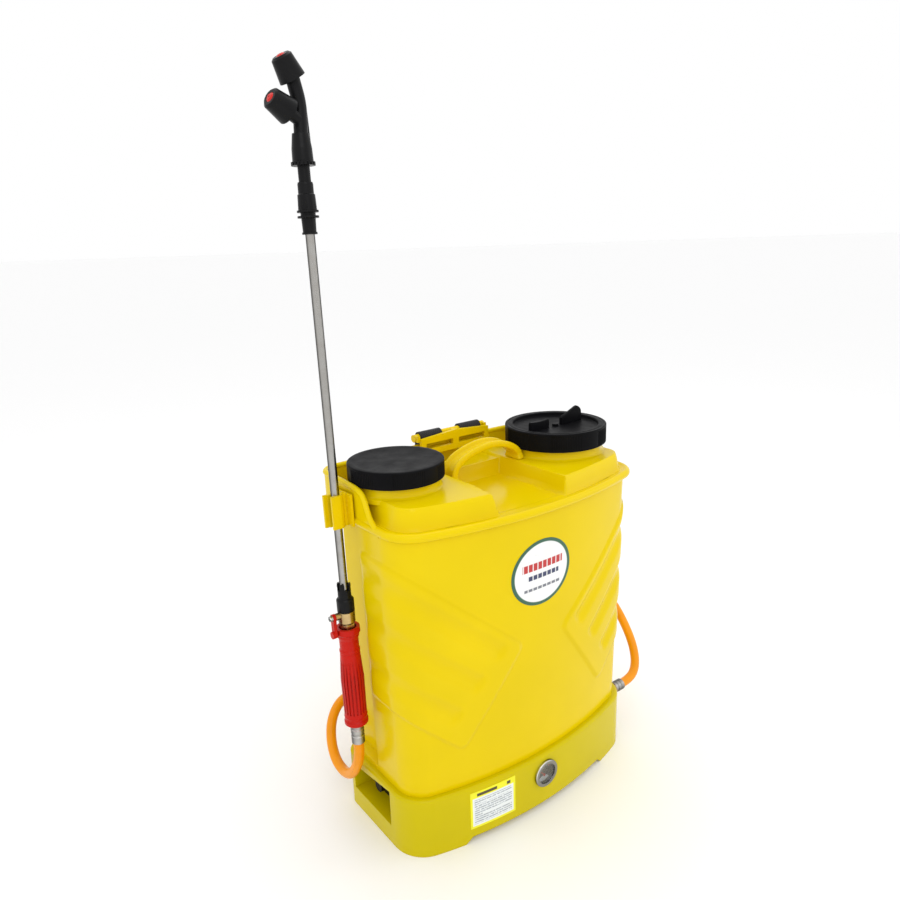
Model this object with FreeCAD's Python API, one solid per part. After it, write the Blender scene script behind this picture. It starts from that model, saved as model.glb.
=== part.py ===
import FreeCAD, Part

import math
import os

from FreeCAD import Vector

# Knapsack electric sprayer. Millimetres, +Z up, floor at z = 0, front face towards -Y.
# X runs along the width of the tank, with the middle of the body at x = 0.

running_gap = 0.35      # between pieces of different bodies
seat_gap = 0.1          # between pieces that are fixed together
shaft_gap = 0.05        # radial play of a shaft in its hole
side_x, side_y, side_z = Vector(1, 0, 0), Vector(0, 1, 0), Vector(0, 0, 1)

# body plan: a bowed front, two large front corners and two small rear corners
body_half = 190.0
body_front = 114.0
body_back = 66.0
bow_radius = 554.0
front_corner = 45.0
rear_corner = 18.0
wall = 3.0

# base
base_height = 80.0
base_shoulder = 4.0
base_lip = 15.0
arch_height = 8.2
foot_inner = body_half - 69.7
foot_slope = 9.3
boss_radius = 7.0
boss_x = body_half - 40.0
boss_front = 42.0 - body_front
boss_back = body_back - 16.0
screw_radius = 2.4
screw_head_radius = 4.4
screw_head_height = 3.5
screw_seat = base_height - 20.0
screw_grip = 14.0

# window in the left side of the base, with the controls in it
window_front = -41.0
window_back = 45.0
window_bottom = 27.0
window_top_front = 76.0
window_top_back = 63.0
window_depth = 25.0

# controls on the panel at the back of the window
panel_thick = 2.0
switch_y = -18.0
switch_z = 48.0
switch_half_y = 9.0
switch_half_z = 12.0
rocker_rest = 8.0
knob_y = 7.0
knob_z = 46.0
knob_radius = 8.5
socket_y = 28.0
socket_z = 45.0
socket_radius = 5.6

# battery, lying on its side on the hatch
battery_length = 151.0
battery_width = 98.0
battery_height = 65.0
battery_y = -5.0
hatch_margin = 2.0
hatch_ledge = 6.0
hatch_thick = 2.0

# pump and motor
pump_x = body_half - 74.0
pump_half = 23.0
pump_front = -72.0
pump_back = -20.0
pump_bottom = 14.0
pump_top = 71.0
motor_z = 32.0
motor_radius = 18.0
motor_length = 62.0
shaft_radius = 2.5
corner_y = bow_radius - body_front - math.sqrt((bow_radius - front_corner) ** 2
                                               - (body_half - front_corner) ** 2)
outlet_y = corner_y - 7.09
outlet_z = 62.0
outlet_reach = body_half + 24.0
suction_y = 22.0
pipe_radius = 6.0
pipe_wall = 1.8

# battery gauge in the front of the base
gauge_z = 52.0
gauge_radius = 16.0
bezel_radius = gauge_radius + 2.5
needle_rest = 40.0

# tank
tank_inset_low = 8.0
tank_inset_high = 2.0
tank_height = 329.0
rim_thick = 11.0
rim_bottom = base_height + tank_height
rim_top = rim_bottom + rim_thick
rim_front = body_front + 7.0
rim_half = body_half + 1.0
rim_back = body_back + 20.0
rim_corner = 42.0
rim_rear_corner = 26.0
rim_round = 4.6
flange_top = rim_top + 38.0
flange_thick = 3.5
recess_depth = 20.0
recess_front = -5.0
recess_bottom = base_height + 6.0
panel_rise = 2.5
groove_width = 17.0
groove_slope = 0.83
groove_tips = [(67.0, 250.0), (97.0, 217.0), (127.0, 183.0)]
block_inset = 15.0
block_back = rim_back - 24.0
left_block_top = rim_top + 23.0
right_block_top = rim_top + 20.0
rear_block_top = rim_top + 17.0
rear_block_front = 15.0

# filling mouth and its lid, on the right
fill_neck_radius = 61.0
fill_x = body_half - fill_neck_radius - 7.0
fill_y = -5.0
fill_neck_top = right_block_top + 24.0
fill_lid_radius = fill_neck_radius + 6.3
fill_lid_bottom = fill_neck_top - 12.0
fill_lid_top = fill_neck_top + 12.0
fill_lid_ring = fill_neck_radius - 4.0
right_block_edge = fill_x - fill_neck_radius - 21.0
fill_lid_dish = 5.0
neck_wall = 3.5
strainer_flange = 2.0
strainer_depth = 72.0
seal_thick = 2.2
lid_plate = 2.2
vent_radius = 2.0

# storage well and its lid, on the left
well_neck_radius = 50.0
well_x = well_neck_radius + 11.0 - body_half
well_y = 1.0
well_neck_top = left_block_top + 26.0
well_lid_radius = well_neck_radius + 6.6
well_lid_bottom = well_neck_top - 14.0
well_lid_top = well_neck_top + 6.0
well_bottom = rim_top - 70.0
well_cup_radius = well_neck_radius - 12.0
left_block_edge = well_x + well_neck_radius + 16.0

# carry handle
handle_width = 24.0
handle_thick = 8.0
handle_groove = 15.0
handle_left = left_block_edge + 10.0
handle_right = right_block_edge + 13.0
handle_span = handle_right - handle_left
handle_arch = [(0.0, 0.0), (0.0, 24.0), (0.16, 38.0), (0.396, 46.5), (0.623, 48.5), (0.821, 43.0),
               (0.962, 33.0), (1.0, 26.0), (1.0, 20.0)]
handle_route = [(handle_left + handle_span * share, rim_top + height) for share, height in handle_arch]

# strap hanger
hanger_left = -50.0
hanger_right = 66.0
hanger_middle = 10.0
hanger_rod_y = rim_back - 5.0
hanger_rod_z = rim_top + 48.0
hanger_rod_radius = 5.0
hanger_plate_thick = 4.5
strap_centres = (-25.0, 40.0)
strap_thick = 2.6
loop_width = 38.0
webbing_width = 25.0
webbing_thick = 2.0
webbing_shares = [(0, 0, 0), (0.362, 0.232, 0.324), (0.71, 0.616, 0.676), (0.913, 0.899, 0.915), (1, 1, 1)]
hook_x = body_half - 40.0
hook_top = 44.0

# lance: one straight line that leans back a little, clipped to the left side
lance_x = -body_half - 15.0
lance_y = 0.1
lance_z = 158.0
lance_lean = 2.016
tube_radius = 4.9
grip_length = 128.0
hose_radius = 6.5
tail_radius = 5.0
grip_radius = tail_radius + 6.4
grip_swell = 2.6
grip_flange = grip_radius + 3.0
crimp_length = 26.0
crimp_radius = hose_radius + 1.6
valve_start = grip_length - 9.0
valve_length = 29.5
valve_radius = tube_radius + 5.1
valve_hexagon = valve_radius - 0.6
lever_height = valve_start + 25.0
lever_thick = 3.6
lever_offset = grip_flange + 0.8
sleeve_nut_radius = tube_radius + 5.3
sleeve_length = 34.0
tube_top = 588.0
collar_start = tube_top - 20.0
collar_top = tube_top - 2.0
nut_start = collar_top + 3.4
nut_length = 29.0
stem_radius = tube_radius + 1.25
nut_radius = stem_radius + 3.35
stem_start = nut_start + 1.6
head_start = tube_top + 46.0
head_turn = 12.0
cap_length = 23.0
thread_radius = 7.0
cap_base_radius = thread_radius + 6.4
cap_top_radius = thread_radius + 3.6
thread_length = 14.0
tip_radius = thread_radius - 2.0
upper_seat = Vector(-3, 0, head_start + 79)
upper_way = Vector(-0.52, 0, 0.855).normalize()
lower_seat = Vector(-12, 0, head_start + 49)
lower_way = Vector(-0.885, 0, 0.465).normalize()

# spray hose, from the outlet round the back to the grip
hose_route = [
    (214.0, -55.0, 62.0), (236.0, -55.0, 62.0), (255.0, -49.0, 73.0), (267.0, -35.0, 93.0),
    (273.0, -14.0, 118.0), (276.0, 14.0, 146.0), (272.0, 48.0, 174.0), (259.0, 84.0, 194.0),
    (236.0, 120.0, 197.0), (211.0, 150.0, 175.0), (190.0, 173.0, 134.0), (169.0, 190.0, 86.0),
    (140.0, 203.0, 42.0), (98.0, 211.0, 13.0), (46.0, 210.0, 6.8), (-8.0, 199.0, 6.9),
    (-58.0, 178.0, 7.4), (-94.0, 154.0, 26.0), (-116.0, 137.0, 62.0), (-133.0, 125.0, 95.0),
    (-153.0, 115.0, 114.0), (-174.0, 107.0, 115.0), (-191.0, 98.0, 102.0), (-201.0, 85.0, 83.0),
    (-206.0, 66.0, 66.0), (-206.0, 44.0, 60.0), (-206.0, 23.0, 69.0), (-205.5, 8.0, 89.0),
    (-205.0, -1.5, 113.0)]


def box(x0, x1, y0, y1, z0, z1):
    return Part.makeBox(x1 - x0, y1 - y0, z1 - z0, Vector(x0, y0, z0))


def rod(start, direction, radius, length):
    return Part.makeCylinder(radius, length, Vector(*start), direction)


def ring(start, direction, outer, inner, length):
    return rod(start, direction, outer, length).cut(rod(start, direction, inner, length))


def cone(start, direction, radius0, radius1, length):
    return Part.makeCone(radius0, radius1, length, Vector(*start), direction)


def join(first, *others):
    return first.fuse(list(others)).removeSplitter()


def prism(points, direction):
    """A flat outline given by its corners, drawn out along a direction."""
    corners = [Vector(*point) for point in points]
    return Part.Face(Part.makePolygon(corners + corners[:1])).extrude(direction)


def turned(profile, centre):
    """A lathe profile of (radius, height) corners, turned about a vertical line through centre."""
    corners = [Vector(centre[0] + radius, centre[1], height) for radius, height in profile]
    face = Part.Face(Part.makePolygon(corners + corners[:1]))
    return face.revolve(Vector(centre[0], centre[1], 0), side_z, 360)


def softened(shape, radius, chosen):
    """Rounds the edges that the chosen test picks."""
    edges = [edge for edge in shape.Edges if chosen(edge.BoundBox, edge)]
    return shape.makeFillet(radius, edges)


def rounded_path(points):
    """Straight runs joined by tangent arcs that are as large as the runs allow."""
    corners = [Vector(*point) for point in points]
    edges = []
    last = corners[0]
    for before, corner, after in zip(corners, corners[1:], corners[2:]):
        back = (before - corner).normalize()
        ahead = (after - corner).normalize()
        turn = math.pi - back.getAngle(ahead)
        reach = 0.45 * min((before - corner).Length, (after - corner).Length)
        radius = reach / math.tan(turn / 2)
        start = corner + back * reach
        end = corner + ahead * reach
        middle_way = (back + ahead).normalize()
        middle = corner + middle_way * (radius / math.cos(turn / 2) - radius)
        edges.append(Part.LineSegment(last, start).toShape())
        edges.append(Part.Arc(start, middle, end).toShape())
        last = end
    edges.append(Part.LineSegment(last, corners[-1]).toShape())
    return Part.Wire(edges)


def tube(points, radius, label):
    """A round tube along a path, with its bend radii and its volume against section times length."""
    path = rounded_path(points)
    start = Vector(*points[0])
    circle = Part.makeCircle(radius, start, Vector(*points[1]) - start)
    solid = path.makePipeShell([Part.Wire(circle)], True, False)
    expected = math.pi * radius ** 2 * path.Length
    radii = [edge.Curve.Radius for edge in path.Edges if edge.Curve.TypeId == "Part::GeomCircle"]
    print(label, "length", round(path.Length, 1), "volume ratio", round(solid.Volume / expected, 4))
    print(label, "radii", [round(value, 1) for value in radii])
    return solid


def plan_wire(height, inset, front=body_front, back=body_back, half=body_half,
              corner=front_corner, rear=rear_corner):
    """The body's outline at one height, drawn in by an inset from its full size."""
    bow_y = bow_radius - front
    corner_x = half - corner
    corner_y = bow_y - math.sqrt((bow_radius - corner) ** 2 - corner_x ** 2)
    toward = Vector(corner_x, corner_y - bow_y, 0).normalize()
    meet = Vector(0, bow_y, height) + toward * (bow_radius - inset)
    small = corner - inset
    half_way = (toward + side_x).normalize()
    shoulder = Vector(corner_x, corner_y, height) + half_way * small
    side = Vector(half - inset, corner_y, height)
    rear_small = rear - inset
    side_end = Vector(half - inset, back - rear, height)
    diagonal = rear_small * math.sqrt(0.5)
    rear_mid = Vector(half - rear + diagonal, back - rear + diagonal, height)
    rear_end = Vector(half - rear, back - inset, height)

    def mirrored(point):
        return Vector(-point.x, point.y, point.z)

    front_point = Vector(0, bow_y - (bow_radius - inset), height)
    edges = [Part.Arc(mirrored(meet), front_point, meet).toShape(),
             Part.Arc(meet, shoulder, side).toShape(),
             Part.LineSegment(side, side_end).toShape(),
             Part.Arc(side_end, rear_mid, rear_end).toShape(),
             Part.LineSegment(rear_end, mirrored(rear_end)).toShape(),
             Part.Arc(mirrored(rear_end), mirrored(rear_mid), mirrored(side_end)).toShape(),
             Part.LineSegment(mirrored(side_end), mirrored(side)).toShape(),
             Part.Arc(mirrored(side), mirrored(shoulder), mirrored(meet)).toShape()]
    return Part.Wire(edges)


def plan_prism(low, high, inset=0.0, **plan):
    return Part.Face(plan_wire(low, inset, **plan)).extrude(Vector(0, 0, high - low))


def rim_prism(low, high, inset=0.0, back=rim_back):
    return plan_prism(low, high, inset, front=rim_front, back=back, half=rim_half,
                      corner=rim_corner, rear=rim_rear_corner)


def boss_spots():
    return [(side * boss_x, y) for side in (-1, 1) for y in (boss_front, boss_back)]


# ---- base ----

def window_outline(x):
    corners = [(window_front, window_bottom), (window_back, window_bottom), (window_back, window_top_back),
               (window_front, window_top_front), (window_front, window_bottom)]
    return Part.makePolygon([Vector(x, y, z) for y, z in corners])


def hatch_opening(margin):
    """Half length, front and back of the opening under the battery, with a margin all round."""
    half = battery_length / 2 + margin
    return half, battery_y - battery_width / 2 - margin, battery_y + battery_width / 2 + margin


def hatch_spots():
    half, front, back = hatch_opening(hatch_margin + hatch_ledge / 2)
    return [(side * half, y) for side in (-1, 1) for y in (front, back)]


def base_shell():
    floor_top = arch_height + wall
    block = plan_prism(0, base_height)
    outer = softened(block, base_shoulder, lambda size, edge: size.ZMin > base_height - 0.01)
    crown = foot_inner - foot_slope
    arch = prism([(-foot_inner, -200, -1), (-foot_inner, -200, 0), (-crown, -200, arch_height),
                  (crown, -200, arch_height), (foot_inner, -200, 0), (foot_inner, -200, -1)],
                 Vector(0, 400, 0))
    room = plan_prism(wall, base_height - wall, wall)
    room = room.cut(box(-foot_inner - wall, foot_inner + wall, -200, 200, 0, floor_top))
    mouth = plan_prism(base_height - wall - 1, base_height + 1, base_lip)
    window = Part.Face(window_outline(-body_half - 1)).extrude(Vector(window_depth + 1, 0, 0))
    lining_wire = window_outline(-body_half).makeOffset2D(wall)
    lining = Part.Face(lining_wire).extrude(Vector(window_depth + wall, 0, 0)).common(outer)
    shell = outer.cut(arch).cut(room).cut(mouth)
    bosses = [rod((x, y, wall / 2), side_z, boss_radius, base_height - wall / 2) for x, y in boss_spots()]
    shell = join(shell, lining, *bosses).cut(window)
    for x, y in boss_spots():
        shell = shell.cut(rod((x, y, -1), side_z, screw_head_radius + 0.6, screw_seat + 1))
        shell = shell.cut(rod((x, y, -1), side_z, screw_radius + seat_gap, base_height + 2))
    half, front, back = hatch_opening(hatch_margin)
    shell = shell.cut(box(-half, half, front, back, 0, floor_top + 1))
    pegs = [rod((x, y, floor_top - 0.5), side_z, 2.9, 7) for x, y in hatch_spots()]
    shell = join(shell, *pegs)
    half, front, back = hatch_opening(hatch_margin + hatch_ledge)
    shell = shell.cut(box(-half, half, front, back, 0, arch_height + hatch_thick))
    for x, y in hatch_spots():
        shell = shell.cut(rod((x, y, 0), side_z, 1.6, floor_top + 5))
    shell = shell.cut(rod((0, -body_front - 5, gauge_z), side_y, gauge_radius + seat_gap, 20))
    shell = shell.cut(rod((body_half - 20, outlet_y, outlet_z), side_x, pipe_radius + seat_gap, 30))
    for cutter in control_holes():
        shell = shell.cut(cutter)
    return shell


def base_screws():
    screws = []
    for x, y in boss_spots():
        head = rod((x, y, screw_seat - screw_head_height), side_z, screw_head_radius, screw_head_height)
        slot = box(x - 0.6, x + 0.6, y - 5, y + 5, screw_seat - screw_head_height - 1, screw_seat - 2.2)
        shank = rod((x, y, screw_seat - 0.5), side_z, screw_radius, base_height + screw_grip - screw_seat)
        screws.append(join(head.cut(slot), shank))
    return Part.makeCompound(screws)


def base_hatch():
    half, front, back = hatch_opening(hatch_margin + hatch_ledge - 0.4)
    plate = box(-half, half, front, back, arch_height, arch_height + hatch_thick - seat_gap)
    plate = softened(plate, 4, lambda size, edge: size.ZLength > 1)
    for x, y in hatch_spots():
        plate = plate.cut(rod((x, y, 0), side_z, 1.7, 20))
    ribs = [box(-40, 40, battery_y + step - 1, battery_y + step + 1, arch_height - 1.2, arch_height + 0.5)
            for step in (-24, -12, 0, 12, 24)]
    return join(plate, *ribs)


def hatch_screws():
    screws = []
    for x, y in hatch_spots():
        head = Part.makeSphere(3, Vector(x, y, arch_height), Vector(0, 0, -1), 0, 90)
        shank = rod((x, y, arch_height - 0.5), side_z, 1.45, 7)
        cross = box(x - 0.5, x + 0.5, y - 2, y + 2, arch_height - 4, arch_height - 1.8)
        screws.append(join(head, shank).cut(cross))
    return Part.makeCompound(screws)


# ---- battery, pump and pipes inside the base ----

def battery():
    bottom = arch_height + hatch_thick + 0.1
    case = box(-battery_length / 2, battery_length / 2, battery_y - battery_width / 2,
               battery_y + battery_width / 2, bottom, bottom + battery_height)
    case = softened(case, 3, lambda size, edge: edge.Length > 50)
    tabs = [box(-battery_length / 2 - 1.2, -battery_length / 2 + 4, battery_y + side * 32 - 3,
                battery_y + side * 32 + 3, bottom + 50, bottom + 51) for side in (-1, 1)]
    return join(case, *tabs)


def battery_strap():
    top = arch_height + hatch_thick + 0.1 + battery_height + seat_gap
    thick = 1.2
    front = battery_y - battery_width / 2 - hatch_margin - thick - 0.4
    back = battery_y + battery_width / 2 + hatch_margin + thick + 0.4
    outer = box(-9, 9, front, back, arch_height + wall, top + thick)
    hollow = box(-10, 10, front + thick, back - thick, 0, top)
    feet = [box(-9, 9, front - 8, front + thick, arch_height + wall, arch_height + wall + thick),
            box(-9, 9, back - thick, back + 8, arch_height + wall, arch_height + wall + thick)]
    return join(outer.cut(hollow), *feet)


def pump_block(inset):
    left, right = pump_x - pump_half + inset, pump_x + pump_half - inset
    block = box(left, right, pump_front, pump_back, pump_bottom + inset, pump_top - inset)
    return softened(block, 4 - inset, lambda size, edge: size.YLength > 30)


def pump_head():
    body = pump_block(0)
    core = pump_block(1)
    cavity = rod((pump_x, pump_front + 8, motor_z), side_y, 14, pump_back - pump_front - 9)
    entry = rod((pump_x, pump_back - 2, motor_z), side_y, shaft_radius + shaft_gap, 5)
    inlet = rod((pump_x, pump_back - 12, outlet_z), side_y, pipe_radius + seat_gap, 13)
    port = rod((pump_x + pump_half - 1, outlet_y, outlet_z), side_x, pipe_radius - pipe_wall, 13)
    port_hole = rod((pump_x + pump_half - 12, outlet_y, outlet_z), side_x, 2.4, 30)
    feet = [box(pump_x - pump_half, pump_x + pump_half, y, y + 10, arch_height + wall, pump_bottom + 1)
            for y in (pump_front + 4, pump_back - 14)]
    for y in (pump_front + 17, pump_front + 32):
        seam = box(pump_x - 40, pump_x + 40, y, y + 0.8, 0, 90)
        body = body.cut(seam.cut(core))
    return join(body, port, *feet).cut(cavity).cut(entry).cut(inlet).cut(port_hole)


def pump_motor():
    start = pump_back + seat_gap
    can = rod((pump_x, start, motor_z), side_y, motor_radius, motor_length)
    room = rod((pump_x, start + 2, motor_z), side_y, motor_radius - 2, motor_length - 4)
    bore = rod((pump_x, start - 1, motor_z), side_y, shaft_radius + shaft_gap, motor_length + 2)
    end = start + motor_length
    vents = [box(pump_x + 5 * step - 1, pump_x + 5 * step + 1, end - 3, end + 1, motor_z + 8, motor_z + 13)
             for step in (-1, 0, 1)]
    motor = can.cut(room).cut(bore)
    for vent in vents:
        motor = motor.cut(vent)
    return motor


def motor_shaft():
    start = pump_back + seat_gap
    length = start + motor_length - pump_front - 10
    shaft = rod((pump_x, pump_front + 12, motor_z), side_y, shaft_radius, length)
    rotor = rod((pump_x, start + 6, motor_z), side_y, motor_radius - 5, motor_length - 12)
    hub = rod((pump_x + 2, pump_front + 14, motor_z), side_y, 9, 14)
    return join(shaft, rotor, hub)


def tank_outlet():
    bottom = base_height
    spigot = rod((pump_x, suction_y, bottom - 8), side_z, pipe_radius + 2.2, 8 + wall + 1)
    flange = rod((pump_x, suction_y, bottom + wall), side_z, pipe_radius + 7, 3)
    nut = prism([(pump_x + 13 * math.cos(turn * math.pi / 3), suction_y + 13 * math.sin(turn * math.pi / 3),
                  bottom - 5) for turn in range(6)], Vector(0, 0, 5))
    bore = rod((pump_x, suction_y, bottom - 9), side_z, pipe_radius + seat_gap, 9)
    drain = rod((pump_x, suction_y, bottom - 9), side_z, pipe_radius - pipe_wall, 30)
    return join(spigot, flange, nut).cut(bore).cut(drain)


def suction_elbow():
    route = [(pump_x, suction_y, base_height - 0.5), (pump_x, suction_y, outlet_z),
             (pump_x, pump_back - 11, outlet_z)]
    path = rounded_path(route)
    circles = [Part.makeCircle(radius, Vector(*route[0]), side_z)
               for radius in (pipe_radius, pipe_radius - pipe_wall)]
    outer, inner = [path.makePipeShell([Part.Wire(circle)], True, False) for circle in circles]
    return outer.cut(inner)


def pressure_hose():
    start = pump_x + pump_half + 1
    length = body_half - wall - 10 - start
    bore = pipe_radius - pipe_wall + seat_gap
    return ring((start, outlet_y, outlet_z), side_x, pipe_radius + 1.6, bore, length)


def outlet_barb():
    inside = body_half - wall - 22
    tail = rod((inside, outlet_y, outlet_z), side_x, pipe_radius - pipe_wall, outlet_reach - inside)
    collar = rod((body_half - wall - 9.5, outlet_y, outlet_z), side_x, pipe_radius, wall + 11)
    nut = prism([(body_half + 0.6, outlet_y + 10 * math.cos(turn * math.pi / 3),
                  outlet_z + 10 * math.sin(turn * math.pi / 3)) for turn in range(6)], Vector(6, 0, 0))
    bore = rod((inside - 1, outlet_y, outlet_z), side_x, 2.4, outlet_reach)
    return join(tail, collar, nut).cut(bore)


def outlet_clamp():
    start = body_half + 7.2
    bore = pipe_radius - pipe_wall + seat_gap
    sleeve = ring((start, outlet_y, outlet_z), side_x, hose_radius + 1.6, bore, outlet_reach - start)
    grooves = [ring((start + step, outlet_y, outlet_z), side_x, hose_radius + 3, hose_radius + 1, 1.5)
               for step in (4, 10)]
    for groove in grooves:
        sleeve = sleeve.cut(groove)
    return sleeve


def wiring():
    top = arch_height + hatch_thick + battery_height - 8
    left = -battery_length / 2
    to_switch = [(left - 1.5, battery_y - 32, top - 6.5), (left - 14, battery_y - 32, top - 6.5),
                 (left - 34, battery_y - 22, top - 12), (-window_switch_x() + 26, switch_y, switch_z)]
    to_pump = [(left - 1.5, battery_y + 32, top - 6.5), (left - 12, battery_y + 34, top - 8),
               (left - 18, battery_y + 52, top - 16), (left, battery_y + 60, top - 26),
               (left + 60, battery_y + 61, top - 28), (left + 130, battery_y + 61, top - 27),
               (pump_x - 26, battery_y + 58, motor_z + 6),
               (pump_x - 6, pump_back + motor_length + 2.5, motor_z + 4)]
    return Part.makeCompound([tube(to_switch, 1.6, "switch lead"), tube(to_pump, 1.6, "pump lead")])


# ---- controls in the side window ----

def window_switch_x():
    """How far from the middle the window's back wall stands."""
    return body_half - window_depth


def control_holes():
    start = -window_switch_x() - panel_thick - 1
    length = wall + panel_thick + 2
    switch = box(start, start + length, switch_y - switch_half_y + 1, switch_y + switch_half_y - 1,
                 switch_z - switch_half_z + 1, switch_z + switch_half_z - 1)
    knob = rod((start, knob_y, knob_z), side_x, 3.6, length)
    socket = rod((start, socket_y, socket_z), side_x, socket_radius - 1, length)
    return [switch, knob, socket]


def control_panel():
    back = -window_switch_x() - seat_gap
    plate = box(back - panel_thick, back, window_front + 5, window_back - 6,
                window_bottom + 3, window_top_back - 2)
    plate = softened(plate, 4, lambda size, edge: size.XLength > 1)
    for hole in control_holes():
        plate = plate.cut(hole)
    return plate


def switch_housing():
    face = -window_switch_x() - panel_thick - seat_gap
    frame = box(face - 2, face, switch_y - switch_half_y, switch_y + switch_half_y,
                switch_z - switch_half_z, switch_z + switch_half_z)
    body = box(face - 1, face + 24, switch_y - switch_half_y + 1.2, switch_y + switch_half_y - 1.2,
               switch_z - switch_half_z + 1.2, switch_z + switch_half_z - 1.2)
    opening = box(face - 3, face + 7, switch_y - switch_half_y + 2.6, switch_y + switch_half_y - 2.6,
                  switch_z - switch_half_z + 2.4, switch_z + switch_half_z - 2.4)
    return join(frame, body).cut(opening)


def rocker():
    face = -window_switch_x() - panel_thick - seat_gap
    half_y = switch_half_y - 2.6 - running_gap
    half_z = switch_half_z - 2.4 - running_gap - 0.8
    middle = face + 2
    outline = [(middle, -half_z), (middle - 5.6, -half_z), (middle - 3.6, 0), (middle - 5.6, half_z),
               (middle, half_z)]
    block = prism([(x, switch_y - half_y, switch_z + z) for x, z in outline], Vector(0, 2 * half_y, 0))
    block.rotate(Vector(middle, switch_y, switch_z), side_y, rocker_rest)
    return block


def speed_control():
    front = -window_switch_x() - panel_thick - seat_gap
    pot = rod((-window_switch_x() + wall + seat_gap, knob_y, knob_z), side_x, 8, 9)
    bush = rod((front, knob_y, knob_z), side_x, 3.4, wall + panel_thick + 1)
    bore = rod((front - 2, knob_y, knob_z), side_x, 1.5 + shaft_gap, 10)
    return join(pot, bush).cut(bore)


def speed_knob():
    face = -window_switch_x() - panel_thick - seat_gap - running_gap
    knob = cone((face, knob_y, knob_z), Vector(-1, 0, 0), knob_radius, knob_radius - 1, 10)
    shaft = rod((face - 1, knob_y, knob_z), side_x, 1.5, 7)
    pointer = box(face - 11, face - 9.4, knob_y - 0.6, knob_y + 0.6, knob_z + 1, knob_z + knob_radius)
    knob = knob.cut(pointer)
    for turn in range(12):
        flute = rod((face + 1, knob_y, knob_z + knob_radius + 0.4), Vector(-1, 0, 0), 1.2, 12)
        flute.rotate(Vector(face, knob_y, knob_z), side_x, 30 * turn)
        knob = knob.cut(flute)
    return join(knob, shaft)


def charge_socket():
    face = -window_switch_x() - panel_thick - seat_gap
    barrel = rod((face - 1, socket_y, socket_z), side_x, socket_radius - 1.2, 18)
    flange = rod((face - 3, socket_y, socket_z), side_x, socket_radius, 3)
    mouth = rod((face - 5, socket_y, socket_z), side_x, 3, 14)
    pin = rod((face - 2, socket_y, socket_z), side_x, 1, 12)
    return join(flange, barrel).cut(mouth).fuse(pin)


# ---- battery gauge ----

def gauge_front(depth):
    """The y of a plane that lies a given depth behind the middle of the base's front."""
    return -body_front + depth


def gauge_body():
    cup = rod((0, gauge_front(-1.2), gauge_z), side_y, gauge_radius, 27)
    room = rod((0, gauge_front(-2), gauge_z), side_y, gauge_radius - 1, 7)
    pivot = rod((0, gauge_front(-2), gauge_z - 5), side_y, 0.8 + shaft_gap, 12)
    blades = [box(x - 2, x + 2, gauge_front(25), gauge_front(33), gauge_z - 0.5, gauge_z + 0.5)
              for x in (-6, 6)]
    return join(cup.cut(room).cut(pivot), *blades)


def gauge_face():
    disc = rod((0, gauge_front(4), gauge_z), side_y, gauge_radius - 1.1, 0.9)
    return disc.cut(rod((0, gauge_front(3), gauge_z - 5), side_y, 0.8 + shaft_gap, 3))


def gauge_needle():
    pivot = rod((0, gauge_front(1.6), gauge_z - 5), side_y, 0.8, 6)
    hub = rod((0, gauge_front(2), gauge_z - 5), side_y, 1.8, 0.9)
    outline = [(-0.7, -5), (0.7, -5), (0.25, 9), (-0.25, 9)]
    blade = prism([(x, gauge_front(2.1), gauge_z + z) for x, z in outline], Vector(0, 0.6, 0))
    needle = join(pivot, hub, blade)
    needle.rotate(Vector(0, 0, gauge_z - 5), side_y, -needle_rest)
    return needle


def gauge_lens():
    return rod((0, gauge_front(-2.5), gauge_z), side_y, gauge_radius - 1.1, 1.2)


def gauge_bezel():
    front = gauge_front(-3.8)
    hoop = ring((0, front, gauge_z), side_y, bezel_radius, gauge_radius - 2, 3.6)
    seat = rod((0, gauge_front(-2.6), gauge_z), side_y, gauge_radius + seat_gap, 4)
    return softened(hoop, 1.2, lambda size, edge: size.YMax < front + 0.1 and size.XLength > 30).cut(seat)


# ---- labels ----

def front_label():
    height = rim_bottom - 75.0
    oval = Part.Ellipse(Vector(-3, -200, height), 47, 42)
    face = Part.Face(Part.Wire(oval.toShape()))
    face.rotate(Vector(-3, -200, height), side_x, 90)
    column = face.extrude(Vector(0, 200 - body_front / 2, 0))
    return column.common(tank_body(-0.4).cut(tank_body(0)))


def notice_label():
    sheet = box(-114, -50, -150, -60, 20, 72)
    return sheet.common(plan_prism(0, base_height, -0.4).cut(plan_prism(0, base_height)))


# ---- tank ----

def tank_body(inset):
    """The tapered body between the base and the rim, drawn in by an inset."""
    low = plan_wire(base_height, tank_inset_low + inset)
    high = plan_wire(rim_bottom + 5, tank_inset_high + inset)
    return Part.makeLoft([low, high], True, True)


def side_recess(grow):
    """The space on the left where the lance stands, larger by the wall for the hollow."""
    return box(-body_half - 20, -body_half + recess_depth + grow, recess_front - grow, 120,
               recess_bottom - grow, rim_bottom - 2 + grow)


def panels():
    """Two raised panels that fill the left and right arms of the cross on the front."""
    reach = body_half + 10
    outline = [(31, -150, 247.5), (116, -150, 130), (reach, -150, 206 + 0.905 * (reach - 200)),
               (reach, -150, 390 + 0.85 * (reach - 200)), (150, -150, 347.5)]
    depth = Vector(0, 144, 0)
    skin = tank_body(-panel_rise).cut(tank_body(1))
    plates = []
    for side in (-1, 1):
        plate = skin.common(prism([(side * x, y, z) for x, y, z in outline], depth))
        for x, z in groove_tips:
            plate = plate.cut(groove_slot(side, x, z, depth))
        plates.append(plate)
    return plates


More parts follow.
